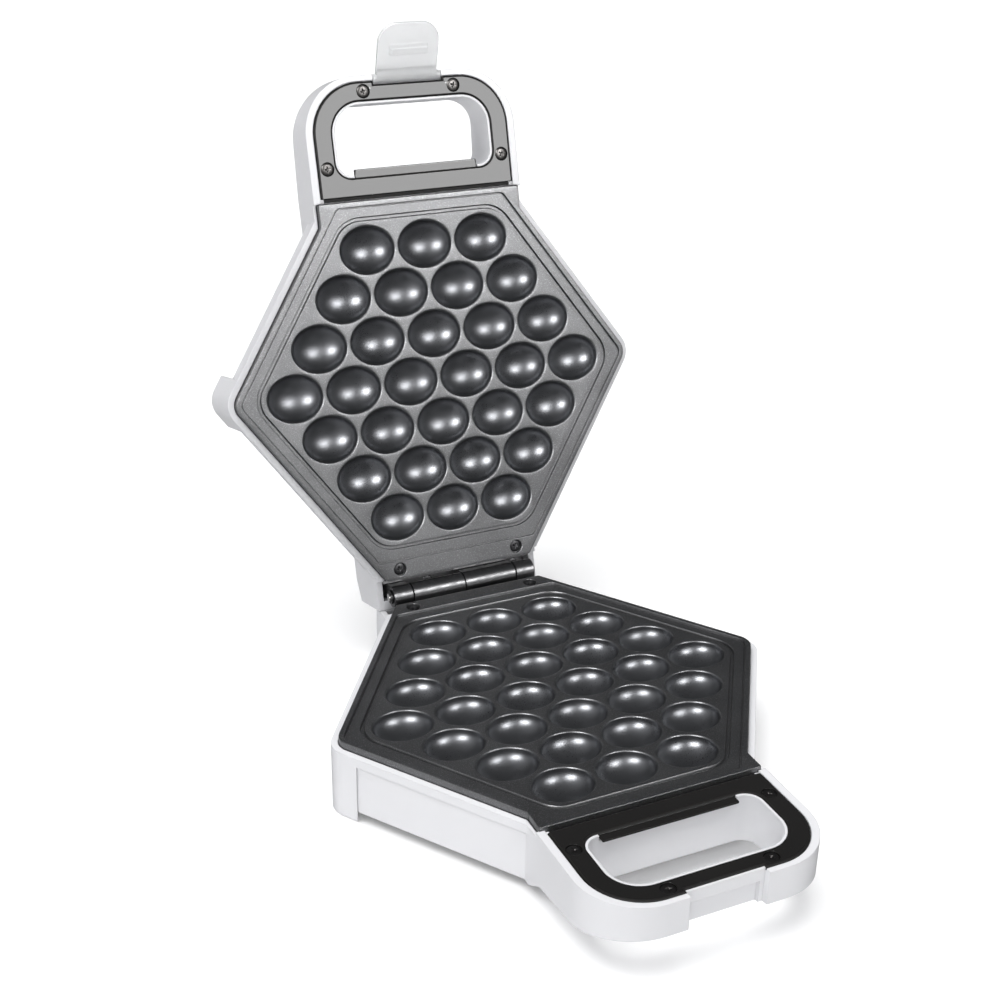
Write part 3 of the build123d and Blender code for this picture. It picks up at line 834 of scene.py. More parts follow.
def rounded(corners: list[tuple[float, float, float]], steps: int = 8) -> Loop:
    """A closed outline with round corners.

    Args:
        corners: Corner points in order, each with its radius.
        steps: Divisions of each round corner.

    Returns:
        The points of the outline.
    """
    least = 0.02
    loop: Loop = []
    count = len(corners)
    for k, (x, y, radius) in enumerate(corners):
        here = Vector((x, y))
        before = (Vector(corners[k - 1][:2]) - here).normalized()
        after = (Vector(corners[(k + 1) % count][:2]) - here).normalized()
        half = before.angle(after) / 2
        reach = max(radius, least) / math.tan(half)
        centre = here + (before + after).normalized() * max(radius, least) / math.sin(half)
        start = here + before * reach - centre
        end = here + after * reach - centre
        turn = start.angle_signed(end)
        for step in range(steps + 1):
            angle = -turn * step / steps
            spot = centre + Matrix.Rotation(angle, 2) @ start
            loop.append((spot.x, spot.y))
    return loop


class MeshMaker:
    """Collects loops, walls and fills of one piece, drawn in millimetres."""

    def __init__(self) -> None:
        """Starts with an empty mesh."""
        self.mesh = bmesh.new()
        self.hollow = self.mesh.verts.layers.float.new(HOLLOW)

    def mark(self, ring: Ring, share: float) -> None:
        """Notes how far inside a hollow or down a flank these points are, for the finish."""
        for vertex in ring:
            vertex[self.hollow] = share

    def ring(self, loop: Loop, level: float) -> Ring:
        """Adds the points of a loop at one level."""
        return [self.mesh.verts.new((x, y, level)) for x, y in loop]

    def wall(self, first: Ring, second: Ring) -> None:
        """Joins two rings of the same count with quads.

        Args:
            first: One ring.
            second: The other ring.
        """
        count = len(first)
        for k in range(count):
            n = (k + 1) % count
            self.mesh.faces.new((first[k], first[n], second[n], second[k]))

    def cone(self, ring: Ring, tip: bmesh.types.BMVert) -> None:
        """Closes a ring with triangles to a tip."""
        for k, vertex in enumerate(ring):
            self.mesh.faces.new((vertex, ring[(k + 1) % len(ring)], tip))

    def cap(self, first: Ring, last: Ring) -> None:
        """Closes both ends of a form with one face each."""
        self.mesh.faces.new(first)
        self.mesh.faces.new(last[::-1])

    def fill(self, rings: list[Ring]) -> None:
        """Fills the area between an outer ring and the rings of its holes.

        Args:
            rings: The rings, in any order.
        """
        edges = []
        for ring in rings:
            for k, vertex in enumerate(ring):
                other = ring[(k + 1) % len(ring)]
                edge = self.mesh.edges.get((vertex, other)) or self.mesh.edges.new((vertex, other))
                edges.append(edge)
        bmesh.ops.triangle_fill(self.mesh, use_beauty=True, edges=edges, normal=(0.0, 0.0, 1.0))

    def stack(self, loops: list[tuple[Loop, float]]) -> tuple[Ring, Ring]:
        """Adds rings at their levels and the walls between them.

        Args:
            loops: Loops of one count with their levels, in order.

        Returns:
            The first and the last ring.
        """
        rings = [self.ring(loop, level) for loop, level in loops]
        for first, second in zip(rings, rings[1:]):
            self.wall(first, second)
        return rings[0], rings[-1]

    def sink(
        self,
        spot: tuple[float, float],
        levels: tuple[float, float, float],
        soft: tuple[float, float],
    ) -> tuple[Ring, Ring]:
        """Adds the sunk seat of a screw with its hole.

        Args:
            spot: Its middle along X and Y.
            levels: Levels of its mouth, of the seat and of the hole's end.
            soft: Width and fall of the bevel round its mouth.

        Returns:
            The rings of its mouth and of the hole's end.
        """
        mouth, seat, end = levels
        wide, fall = soft
        profile = (
            (SINK_RADIUS + wide, mouth),
            (SINK_RADIUS, mouth - fall),
            (SINK_RADIUS, seat),
            (SINK_HOLE, seat),
            (SINK_HOLE, end),
        )
        return self.stack([(circle(radius, SINK_SIDES, *spot), level) for radius, level in profile])

    def turned(self, profile: list[tuple[float, float]], sides: int) -> None:
        """Adds a turned form about Z.

        Args:
            profile: Radius and level pairs; a radius of 0 closes it.
            sides: Divisions of the circle.
        """
        before = None
        for radius, level in profile:
            if radius <= 0:
                ring = [self.mesh.verts.new((0.0, 0.0, level))] * sides
            else:
                ring = self.ring(circle(radius, sides), level)
            if before is not None:
                for k in range(sides):
                    n = (k + 1) % sides
                    corners = dict.fromkeys((before[k], before[n], ring[n], ring[k]))
                    self.mesh.faces.new(tuple(corners))
            before = ring

    def finish(self, name: str, place: Matrix, smooth: float = 32.0) -> bpy.types.Object:
        """Ends the mesh and puts it in the scene.

        Args:
            name: Name of the piece.
            place: Matrix from the drawing to the frame.
            smooth: Edges sharper than this angle, in degrees, stay sharp.

        Returns:
            The new object.
        """
        self.mesh.transform(place)
        bmesh.ops.recalc_face_normals(self.mesh, faces=self.mesh.faces[:])
        data = bpy.data.meshes.new(name)
        self.mesh.to_mesh(data)
        self.mesh.free()
        data.polygons.foreach_set("use_smooth", [True] * len(data.polygons))
        data.set_sharp_from_angle(angle=math.radians(smooth))
        piece = bpy.data.objects.new(name, data)
        bpy.context.scene.collection.objects.link(piece)
        weighted = piece.modifiers.new("even_shading", "WEIGHTED_NORMAL")
        weighted.keep_sharp = True
        weighted.weight = SHADING_WEIGHT
        return piece


def install(piece: bpy.types.Object, body: str, finish: Finish, slot: str, *nodes: str) -> None:
    """Dresses a new piece, puts it on its body and hides the nodes that it stands for.

    Args:
        piece: The new piece.
        body: Body that it rides on.
        finish: Its finish.
        slot: Material slot of the record; not used.
        nodes: CAD nodes that it replaces.
    """
    finish.dress(piece)
    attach(piece, body)
    if nodes:
        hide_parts(*nodes)
    LOG.info("%s: %d faces on %s", piece.name, len(piece.data.polygons), body)


@dataclass
class BubblePlate:
    """A cast plate with its egg-shaped bubbles, moat, lip and skirt, in millimetres."""

    half: Half
    node: str
    pitch: float = 31.0
    row_pitch: float = 22.84
    rows: tuple[int, ...] = (3, 4, 5, 6, 5, 4, 3)
    bubble_x: float = 14.3
    bubble_y: float = 11.8
    depth: float = 9.6
    rim: float = 0.9
    wall: float = 2.1
    reach: float = 109.5
    front: float = 92.8
    rear: float = 101.02
    tab: float = 54.2
    tab_radius: float = 0.8
    top: float = -0.25
    face: float = -1.25
    underside: float = -5.25
    skirt: float = -6.25
    tip_radius: float = 8.0
    skirt_tip_radius: float = 6.0
    rear_radius: float = 1.4
    lip_rear: float = 94.0
    lip_radius: float = 5.8
    lip_groove: float = 0.3
    lip_soft: float = 0.25
    moat_inset: float = 7.9
    moat_front: float = 84.8
    moat_rear: float = 85.0
    moat_tip_radius: float = 14.0
    moat_radius: float = 16.0
    moat_profile: Profile = (
        (9.9, 0.0),
        (9.65, 0.35),
        (9.45, 1.3),
        (8.15, 1.3),
        (7.95, 0.35),
        (7.7, 0.0),
    )
    rim_steps: int = 3
    bubble_steps: int = 14
    bubble_sides: int = 56
    dome_steps: int = 6
    dome_sides: int = 28
    sink_soft: tuple[float, float] = (0.25, 0.2)
    sharp: float = 38.0
    slope: float = field(init=False)
    lean: float = field(init=False)

    def __post_init__(self) -> None:
        """Works out the slant of the sides."""
        self.slope = self.row_pitch / (self.pitch / 2)
        self.lean = math.sqrt(1 + 1 / self.slope**2)

    def outline(
        self, grow: float, front: float, rear: float, tip: float, other: float, tab: float = 0.0
    ) -> Loop:
        """The plate's outline, moved outwards.

        Args:
            grow: Distance outwards of the slanted sides.
            front: Distance of the front edge.
            rear: Distance of the rear edge.
            tip: Radius at the side corners.
            other: Radius at the other corners.
            tab: Half width of the square front tab, or 0.

        Returns:
            The outline's points.
        """
        side = self.reach + grow * self.lean
        back = side - rear / self.slope
        corners = [(side, 0.0, tip), (back, rear, other), (-back, rear, other), (-side, 0.0, tip)]
        if tab:
            level = -(side - tab) * self.slope
            soft = self.tab_radius
            corners += [(-tab, level, soft), (-tab, -front, soft)]
            corners += [(tab, -front, soft), (tab, level, soft)]
        else:
            front_half = side - front / self.slope
            corners += [(-front_half, -front, other), (front_half, -front, other)]
        return rounded(corners)

    def centres(self) -> list[Vector]:
        """The middles of the bubbles.

        Returns:
            One point in the field for each bubble, row by row.
        """
        spots = []
        for row, count in enumerate(self.rows):
            y = (row - (len(self.rows) - 1) / 2) * self.row_pitch
            for k in range(count):
                spots.append(Vector(((k - (count - 1) / 2) * self.pitch, y, self.face)))
        return spots

    def oval(self, centre: Vector, grow: float, scale: float, sides: int) -> Loop:
        """An oval round a bubble's middle.

        Args:
            centre: The middle.
            grow: Distance that its half axes are longer than the bubble's.
            scale: Factor on them.
            sides: Its divisions.

        Returns:
            The oval's points.
        """
        half_x = (self.bubble_x + grow) * scale
        half_y = (self.bubble_y + grow) * scale
        return [
            (centre.x + half_x * math.cos(a), centre.y + half_y * math.sin(a))
            for a in around(sides)
        ]

    def bubble(self, maker: MeshMaker, centre: Vector) -> Ring:
        """One bubble with its rounded rim.

        Args:
            maker: The mesh that it goes into.
            centre: Middle of the bubble.

        Returns:
            The rim's ring in the field.
        """
        loops = []
        sides = self.bubble_sides
        for step in range(self.rim_steps + 1):
            angle = quarter(step, self.rim_steps)
            grow = self.rim - self.rim * math.sin(angle)
            level = self.face - self.rim * (1 - math.cos(angle))
            loops.append((self.oval(centre, grow, 1.0, sides), level))
        low = self.depth - self.rim
        for step in range(1, self.bubble_steps):
            angle = quarter(step, self.bubble_steps)
            level = self.face - self.rim - low * math.sin(angle)
            loops.append((self.oval(centre, 0.0, math.cos(angle), sides), level))
        rings = [maker.ring(loop, level) for loop, level in loops]
        for outer, inner in zip(rings, rings[1:]):
            maker.wall(outer, inner)
        tip = maker.mesh.verts.new((centre.x, centre.y, self.face - self.depth))
        maker.cone(rings[-1], tip)
        # The marks make the bubbles smoother and give them the coating's darker colour, which
        # paints in their shade.
        maker.mark([tip], 1.0)
        for step, ring in enumerate(rings[self.rim_steps - 1 :]):
            maker.mark(ring, min(1.0, 0.5 + 0.5 * step))
        return rings[0]

    def dome(self, maker: MeshMaker, centre: Vector) -> Ring:
        """The bubble's dome on the underside.

        Args:
            maker: The mesh that it goes into.
            centre: Middle of the bubble.

        Returns:
            The dome's ring in the underside.
        """
        height = self.underside - (self.face - self.depth - self.wall)
        loops = []
        for step in range(self.dome_steps):
            angle = quarter(step, self.dome_steps)
            oval = self.oval(centre, self.wall / 2, math.cos(angle), self.dome_sides)
            loops.append((oval, self.underside - height * math.sin(angle)))
        first, last = maker.stack(loops)
        maker.cone(last, maker.mesh.verts.new((centre.x, centre.y, self.underside - height)))
        return first

    def moat(self, maker: MeshMaker) -> tuple[Ring, Ring]:
        """The channel round the field of bubbles.

        Args:
            maker: The mesh that it goes into.

        Returns:
            Its inner and its outer ring.
        """
        loops = []
        for inset, drop in self.moat_profile:
            further = inset - self.moat_inset
            loop = self.outline(
                -inset,
                self.moat_front - further,
                self.moat_rear - further,
                self.moat_tip_radius - further,
                self.moat_radius - further,
            )
            loops.append((loop, self.face - drop))
        return maker.stack(loops)

    def lip(self, maker: MeshMaker) -> tuple[Ring, Ring]:
        """The inner side of the raised lip, with the groove at its foot.

        Args:
            maker: The mesh that it goes into.

        Returns:
            Its ring in the field and its ring on the lip.
        """
        groove = self.face - self.lip_groove
        loops = []
        for inset, level in (
            (3.35, self.face),
            (3.2, groove),
            (2.75, groove),
            (2.65, self.top - self.lip_soft),
            (2.5, self.top),
        ):
            loop = self.outline(
                -inset,
                self.front - inset,
                self.lip_rear - inset,
                self.tip_radius - inset,
                self.lip_radius - inset,
            )
            loops.append((loop, level))
        return maker.stack(loops)

    def edge(self, maker: MeshMaker) -> tuple[Ring, Ring]:
        """The outer edge and the skirt with its inner side.

        Args:
            maker: The mesh that it goes into.

        Returns:
            Its ring on the lip and its ring in the underside.
        """
        loops = []
        for inset, level, tip in (
            (0.5, self.top, self.tip_radius),
            (0.15, self.top - 0.15, self.tip_radius),
            (0.0, self.top - 0.5, self.tip_radius),
            (0.0, self.skirt, self.tip_radius),
            (2.0, self.skirt, self.skirt_tip_radius),
            (2.0, self.underside, self.skirt_tip_radius),
        ):
            loop = self.outline(
                -inset,
                self.front - inset,
                self.rear - inset,
                tip,
                self.rear_radius,
                self.tab - inset,
            )
            loops.append((loop, level))
        return maker.stack(loops)

    def build(self) -> bpy.types.Object:
        """The whole plate as one smooth mesh.

        Returns:
            The plate.
        """
        maker = MeshMaker()
        rims = [self.bubble(maker, centre) for centre in self.centres()]
        moat_inner, moat_outer = self.moat(maker)
        maker.fill([moat_inner, *rims])
        lip_low, lip_high = self.lip(maker)
        maker.fill([lip_low, moat_outer])
        edge_top, edge_under = self.edge(maker)
        levels = (self.top, PLATE_SCREW_SEAT, self.underside)
        plate_x, plate_y = PLATE_SCREW
        sinks = [maker.sink((x, plate_y), levels, self.sink_soft) for x in (-plate_x, plate_x)]
        maker.fill([edge_top, lip_high, *[mouth for mouth, _ in sinks]])
        maker.fill([edge_under, *[self.dome(maker, centre) for centre in self.centres()]])
        return maker.finish(f"{self.node}_cast", self.half.matrix(), self.sharp)

    def dress(self) -> None:
        """Builds the plate, coats it and hides its CAD node."""
        install(self.build(), self.half.value, COATING, "plate_coating", self.node)


@dataclass
class HandleTrim:
    """The glossy plate on a loop handle, with a shoulder round its edge and round the opening."""

    half: Half
    node: str
    top: float = -1.3
    bottom: float = -2.9
    side: float = 52.0
    rear: float = 95.2
    rear_inset: float = 0.3
    front: float = 150.0
    corner: float = 25.0
    notch: tuple[float, float] = (18.3, 148.3)
    small_radius: float = 0.3
    opening: tuple[float, float, float] = (42.3, 104.2, 140.4)
    opening_front_radius: float = 15.0
    opening_rear_radius: float = 8.0
    shoulder: Profile = (
        (1.02, 0.0),
        (1.0, 0.02),
        (0.68, 0.10),
        (0.3, 0.32),
        (0.06, 0.66),
        (0.0, 1.0),
        (0.0, 1.6),
    )
    lip: tuple[float, float, float] = (33.0, 4.0, 1.0)
    lip_thickness: float = 0.9
    lip_soft: float = 0.4
    tongue_half: float = 50.0
    tongue: tuple[float, float] = (-93.45, -96.2)
    tongue_depth: float = 1.5
    tongue_soft: float = 0.1
    overlap: float = 0.05
    seat_depth: float = 0.9
    sink_soft: tuple[float, float] = (0.05, 0.1)
    face_tolerance: float = 0.01
    lip_tolerance: float = 0.005
    sharp: float = 36.0
    screws: tuple[tuple[float, float], ...] = (
        (24.1, -145.3),
        (-24.1, -145.3),
        (47.0, -109.4),
        (-47.0, -109.4),
    )

    def edge(self, inset: float) -> Loop:
        """The outer outline with the latch notch, moved inwards.

        Args:
            inset: Distance inwards.

        Returns:
            The outline's points.
        """
        side = self.side - inset
        front = -self.front + inset
        rear = -self.rear - min(inset, self.rear_inset)
        notch_side = self.notch[0] + inset
        notch_back = -self.notch[1] + inset
        small = self.small_radius
        left = [
            (-side, rear, small),
            (-side, front, self.corner - inset),
            (-notch_side, front, small),
            (-notch_side, notch_back, small),
        ]
        right = [(-x, y, radius) for x, y, radius in reversed(left)]
        return rounded(left + right, CORNER_STEPS)

    def mouth(self, grow: float) -> Loop:
        """The outline of the finger opening, moved outwards.

        Args:
            grow: Distance outwards.

        Returns:
            The outline's points.
        """
        half, rear, front = self.opening
        half, rear, front = half + grow, -rear + grow, -front - grow
        round_front = self.opening_front_radius + grow
        round_rear = self.opening_rear_radius + grow
        corners = [
            (-half, rear, round_rear),
            (-half, front, round_front),
            (half, front, round_front),
            (half, rear, round_rear),
        ]
        return rounded(corners, CORNER_STEPS)

    def bar(
        self,
        maker: MeshMaker,
        half: float,
        sides: tuple[float, float],
        levels: tuple[float, float],
        soft: float,
    ) -> None:
        """A flat bar with soft edges.

        Args:
            maker: The mesh that it goes into.
            half: Half of its length along X.
            sides: Its edges towards the hinge and towards the handle's front.
            levels: Levels of its top and its underside.
            soft: Radius of its edges.
        """
        rear, front = sides
        high, low = levels
        rear_radius, front_radius = 0.05, 0.6
        loops = []
        for inset, level in (
            (soft, high),
            (0.3 * soft, high - 0.3 * soft),
            (0.0, high - soft),
            (0.0, low),
        ):
            corners = [
                (-half + inset, rear, rear_radius),
                (-half + inset, front + inset, front_radius),
                (half - inset, front + inset, front_radius),
                (half - inset, rear, rear_radius),
            ]
            loops.append((rounded(corners, 4), level))
        first, last = maker.stack(loops)
        maker.fill([first])
        maker.fill([last])

    def build(self) -> bpy.types.Object:
        """The trim as one mesh, with its flanks marked for the finish.

        Returns:
            The trim.
        """
        maker = MeshMaker()
        edge_top, edge_under = maker.stack(
            [(self.edge(inset), self.top - fall) for inset, fall in self.shoulder]
        )
        mouth_top, mouth_under = maker.stack(
            [(self.mouth(inset), self.top - fall) for inset, fall in self.shoulder]
        )
        levels = (self.top, self.top - self.seat_depth, self.bottom)
        sinks = [maker.sink(spot, levels, self.sink_soft) for spot in self.screws]
        maker.fill([edge_top, mouth_top, *[mouth for mouth, _ in sinks]])
        maker.fill([edge_under, mouth_under, *[end for _, end in sinks]])
        half, depth, drop = self.lip
        rear = -self.opening[1]
        high = self.top - drop
        lip_sides = (rear + self.overlap, rear - depth)
        self.bar(maker, half, lip_sides, (high, high - self.lip_thickness), self.lip_soft)
        tongue_levels = (self.bottom + self.overlap, self.bottom - self.tongue_depth)
        self.bar(maker, self.tongue_half, self.tongue, tongue_levels, self.tongue_soft)
        for vertex in maker.mesh.verts:
            fall = self.top - vertex.co.z
            on_lip = abs(fall - drop) <= self.lip_tolerance
            if fall > self.face_tolerance and not on_lip:
                maker.mark([vertex], 1.0)
        return maker.finish(f"{self.node}_plate", self.half.matrix(), self.sharp)

    def dress(self) -> None:
        """Builds the trim and hides its CAD node."""
        install(self.build(), self.half.value, TRIM_GLOSS, "trim_gloss", self.node)


@dataclass
class CrossScrews:
    """Cross-head screws of one kind in a half."""

    half: Half
    node: str
    spots: tuple[tuple[float, float], ...]
    seat: float
    finish: Finish
    slot: str
    head: float = 3.2
    height: float = 0.9
    head_steps: int = 6
    head_sides: int = 40
    head_edge: float = 0.35
    shank: float = 1.45
    point: float = 0.4
    point_length: float = 1.2
    length: float = 9.0
    facing: float = 1.0
    cross_mouth: tuple[float, float] = (1.85, 0.42)
    cross_end: tuple[float, float] = (0.9, 0.26)
    cross_end_level: float = 0.1
    cross_above: float = 0.5
    first_turn: float = 0.4
    next_turn: float = 0.9
    sharp: float = 35.0

    def head_profile(self) -> list[tuple[float, float]]:
        """The outline of the domed head and its shank.

        Returns:
            Radius and level pairs.
        """
        profile = [(0.0, self.height)]
        for step in range(1, self.head_steps + 1):
            angle = quarter(step, self.head_steps)
            rise = self.head_edge + (1.0 - self.head_edge) * math.cos(angle)
            profile.append((self.head * math.sin(angle), self.height * rise))
        profile += [(self.head, 0.0), (self.shank, 0.0)]
        profile += [(self.shank, -self.length + self.point_length)]
        return profile + [(self.point, -self.length), (0.0, -self.length)]

    def cross_cutter(self, turn: float) -> bpy.types.Object:
        """The tapered cross that is cut into a head.

        Args:
            turn: Angle of the cross.

        Returns:
            The cutting form.
        """
        above = self.height + self.cross_above
        maker = MeshMaker()
        for start in (0.0, math.pi / 2):
            spin = Matrix.Rotation(start + turn, 2)
            rings = []
            for level, (long, wide) in (
                (above, self.cross_mouth),
                (self.cross_end_level, self.cross_end),
            ):
                corners = [(-long, -wide), (long, -wide), (long, wide), (-long, wide)]
                rings.append(maker.ring([tuple(spin @ Vector(spot)) for spot in corners], level))
            maker.wall(rings[0], rings[1])
            maker.cap(rings[0], rings[1])
        return maker.finish(f"{self.node}_cutter", Matrix.Identity(4))

    def one(self, turn: float) -> bmesh.types.BMesh:
        """A single screw at the origin.

        Args:
            turn: Angle of its cross.

        Returns:
            Its mesh, seat at z = 0.
        """
        maker = MeshMaker()
        maker.turned(self.head_profile(), self.head_sides)
        screw = maker.finish(f"{self.node}_one", Matrix.Identity(4))
        cutter = self.cross_cutter(turn)
        cut = screw.modifiers.new("cross", "BOOLEAN")
        cut.object = cutter
        cut.operation = "DIFFERENCE"
        cut.solver = "EXACT"
        cut.use_self = True
        graph = bpy.context.evaluated_depsgraph_get()
        result = bmesh.new()
        result.from_object(screw, graph)
        for spent in (screw, cutter):
            bpy.data.objects.remove(spent)
        return result

    def build(self) -> bpy.types.Object:
        """All the screws of this kind as one piece.

        Returns:
            The screws.
        """
        maker = MeshMaker()
        upright = Matrix.Scale(self.facing, 4, (0.0, 0.0, 1.0))
        for k, (x, y) in enumerate(self.spots):
            single = self.one(self.first_turn + self.next_turn * k)
            single.transform(Matrix.Translation((x, y, self.seat)) @ upright)
            data = bpy.data.meshes.new("screw_part")
            single.to_mesh(data)
            single.free()
            maker.mesh.from_mesh(data)
            bpy.data.meshes.remove(data)
        return maker.finish(f"{self.node}_cross_head", self.half.matrix(), self.sharp)

    def dress(self) -> None:
        """Builds the screws and hides their CAD node."""
        install(self.build(), self.half.value, self.finish, self.slot, self.node)


@dataclass
class SnapLatch:
    """The milky latch in the lid's handle, swung clear of the hooked place."""

    pivot: tuple[float, float] = (-151.0, -4.0)
    lift: float = 62.0
    hub: float = 2.4
    hub_soft: float = 0.3
    hub_bore: float = 1.35
    hub_half: float = 18.0
    hub_sides: int = 36
    plate_half: float = 16.2
    tip: float = 28.0
    inner: float = 1.0
    thickness: float = 2.2
    corner: float = 10.0
    soft: float = 0.55
    soft_middle: tuple[float, float] = (0.15, 0.18)
    rib_half: float = 10.0
    rib_from: float = 12.3
    rib_to: float = 17.3
    rib_lean: float = 0.8
    rib_radius: float = 0.8
    rib_profile: Profile = ((0.3, 0.0), (0.0, 0.3), (0.0, 1.4), (-0.35, 1.85))
    pad_reach: float = 5.7
    pad_back: float = -0.4
    pad_foot: float = 0.2
    pad_inset: float = 0.3
    pad_sink: float = 0.04
    pad_steps: int = 12
    root_radius: float = 0.1
    sharp: float = 35.0

    def plate(self, maker: MeshMaker) -> None:
        """The plate with soft edges, drawn with Y towards its tip and Z outwards.

        Args:
            maker: The mesh that it goes into.
        """
        outer = self.inner - self.thickness
        middle, fall = self.soft_middle
        loops = []
        for inset, level in (
            (self.soft, self.inner),
            (middle, self.inner - fall),
            (0.0, self.inner - self.soft),
            (0.0, outer + self.soft),
            (middle, outer + fall),
            (self.soft, outer),
        ):
            half = self.plate_half - inset
            corners = [
                (-half, 0.0, self.root_radius),
                (half, 0.0, self.root_radius),
                (half, self.tip - inset, self.corner - inset),
                (-half, self.tip - inset, self.corner - inset),
            ]
            loops.append((rounded(corners, CORNER_STEPS), level))
        first, last = maker.stack(loops)
        maker.fill([first])
        maker.fill([last])

    def rib(self, maker: MeshMaker) -> None:
        """The catch rib on the plate's inner side.

        Args:
            maker: The mesh that it goes into.
        """
        loops = []
        soft = self.rib_radius
        for grow, rise in self.rib_profile:
            low = self.rib_from - grow
            high = self.rib_to + grow - rise * self.rib_lean
            half = self.rib_half + grow
            corners = [
                (-half, low, soft),
                (half, low, soft),
                (half, high, soft),
                (-half, high, soft),
            ]
            loops.append((rounded(corners, 4), self.inner + rise))
        maker.fill([maker.stack(loops)[1]])

    def pad(self, maker: MeshMaker) -> None:
        """The swell that joins the plate's inner side to its hub.

        Args:
            maker: The mesh that it goes into.
        """
        swell = self.hub - self.inner + self.pad_sink
        profile = [(self.pad_back, self.hub)]
        for k in range(self.pad_steps + 1):
            share = k / self.pad_steps
            drop = swell * 0.5 * (1.0 - math.cos(math.pi * share))
            profile.append((self.pad_reach * share, self.hub - drop))
        profile += [(self.pad_reach, self.pad_foot), (self.pad_back, self.pad_foot)]
        ends = []
        for x in (-self.plate_half + self.pad_inset, self.plate_half - self.pad_inset):
            ends.append([maker.mesh.verts.new((x, along, height)) for along, height in profile])
        maker.wall(ends[0], ends[1])
        maker.cap(ends[0], ends[1])

    def barrel(self, maker: MeshMaker) -> None:
        """The hub round the pin, along X.

        Args:
            maker: The mesh that it goes into.
        """
        shoulder = self.hub - self.hub_soft
        rings = []
        for share, radius in (
            (-1.0, self.hub_bore),
            (-1.0, shoulder),
            (-0.98, self.hub),
            (0.98, self.hub),
            (1.0, shoulder),
            (1.0, self.hub_bore),
        ):
            loop = circle(radius, self.hub_sides)
            rings.append([maker.mesh.verts.new((share * self.hub_half, y, z)) for y, z in loop])
        for first, second in zip(rings, rings[1:]):
            maker.wall(first, second)
        maker.wall(rings[-1], rings[0])

    def build(self) -> bpy.types.Object:
        """The latch in one milky mesh at its rest place.

        Returns:
            The latch.
        """
        maker = MeshMaker()
        self.plate(maker)
        self.rib(maker)
        self.pad(maker)
        self.barrel(maker)
        stand = Matrix(((1, 0, 0, 0), (0, 0, 1, 0), (0, 1, 0, 0), (0, 0, 0, 1)))
        swing = Matrix.Rotation(math.radians(self.lift), 4, "X")
        place = Half.LID.matrix() @ Matrix.Translation((0.0, *self.pivot)) @ swing @ stand
        return maker.finish("latch_moulded", place, self.sharp)

    def dress(self) -> None:
        """Builds the latch and hides its CAD node."""
        install(self.build(), "latch", LATCH_MILK, "milky_latch", "latch")


@dataclass
class CarriedNodes:
    """CAD nodes whose shape stays and that only take a finish."""

    finishes: dict[str, Finish] = field(
        default_factory=lambda: {
            "base_housing": WHITE_SHELL,
            "lid_housing": WHITE_SHELL,
            "base_bottom_cover": DARK_COVER,
            "cord_gland": DARK_COVER,
            "rubber_feet": RUBBER,
            "base_hinge_bracket": BLACK_BRACKET,
            "lid_hinge_bracket": BLACK_BRACKET,
            "hinge_pin": PIN_STEEL,
            "pin_retaining_clips": DARK_SCREW,
            "latch_pin": PIN_STEEL,
            "thermal_fuse": PIN_STEEL,
            "lower_heating_element": SHEATH,
            "upper_heating_element": SHEATH,
            "lower_heat_shield": REFLECTOR,
            "upper_heat_shield": REFLECTOR,
            "thermostat": CERAMIC,
            "terminal_block": CERAMIC,
            "lamp_board": LAMINATE,
            "power_lamp": RED_LENS,
            "ready_lamp": GREEN_LENS,
        }
    )

    def dress(self) -> None:
        """Gives each node its finish."""
        for name, finish in self.finishes.items():
            finish.dress(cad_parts[name])
            LOG.info("%s: finish %s", name, finish.name)


@dataclass(frozen=True)
class Softbox:
    """A rectangular soft light aimed at the appliance.

    Its azimuth is in degrees from the front towards the right, its height in degrees above the
    floor, its distance, width and height in metres and its power in watts. It makes highlights
    on glossy faces (gloss) or else lights the matt side of a finish.
    """

    name: str
    azimuth: float
    height: float
    distance: float
    size: tuple[float, float]
    power: float
    gloss: bool = True
    aim: ClassVar[tuple[float, float, float]] = (0.0, 0.05, 0.12)

    def hang(self) -> None:
        """Puts the light in the scene."""
        lamp = bpy.data.lights.new(self.name, "AREA")
        lamp.shape = "RECTANGLE"
        lamp.size, lamp.size_y = self.size
        lamp.energy = self.power
        light = bpy.data.objects.new(self.name, lamp)
        flat = math.cos(math.radians(self.height)) * self.distance
        rise = math.sin(math.radians(self.height)) * self.distance
        turn = math.radians(self.azimuth)
        aim = Vector(self.aim)
        light.location = aim + Vector((math.sin(turn) * flat, -math.cos(turn) * flat, rise))
        light.rotation_euler = (light.location - aim).to_track_quat("Z", "Y").to_euler()
        light.visible_diffuse = not self.gloss
        light.visible_glossy = self.gloss
        bpy.context.scene.collection.objects.link(light)


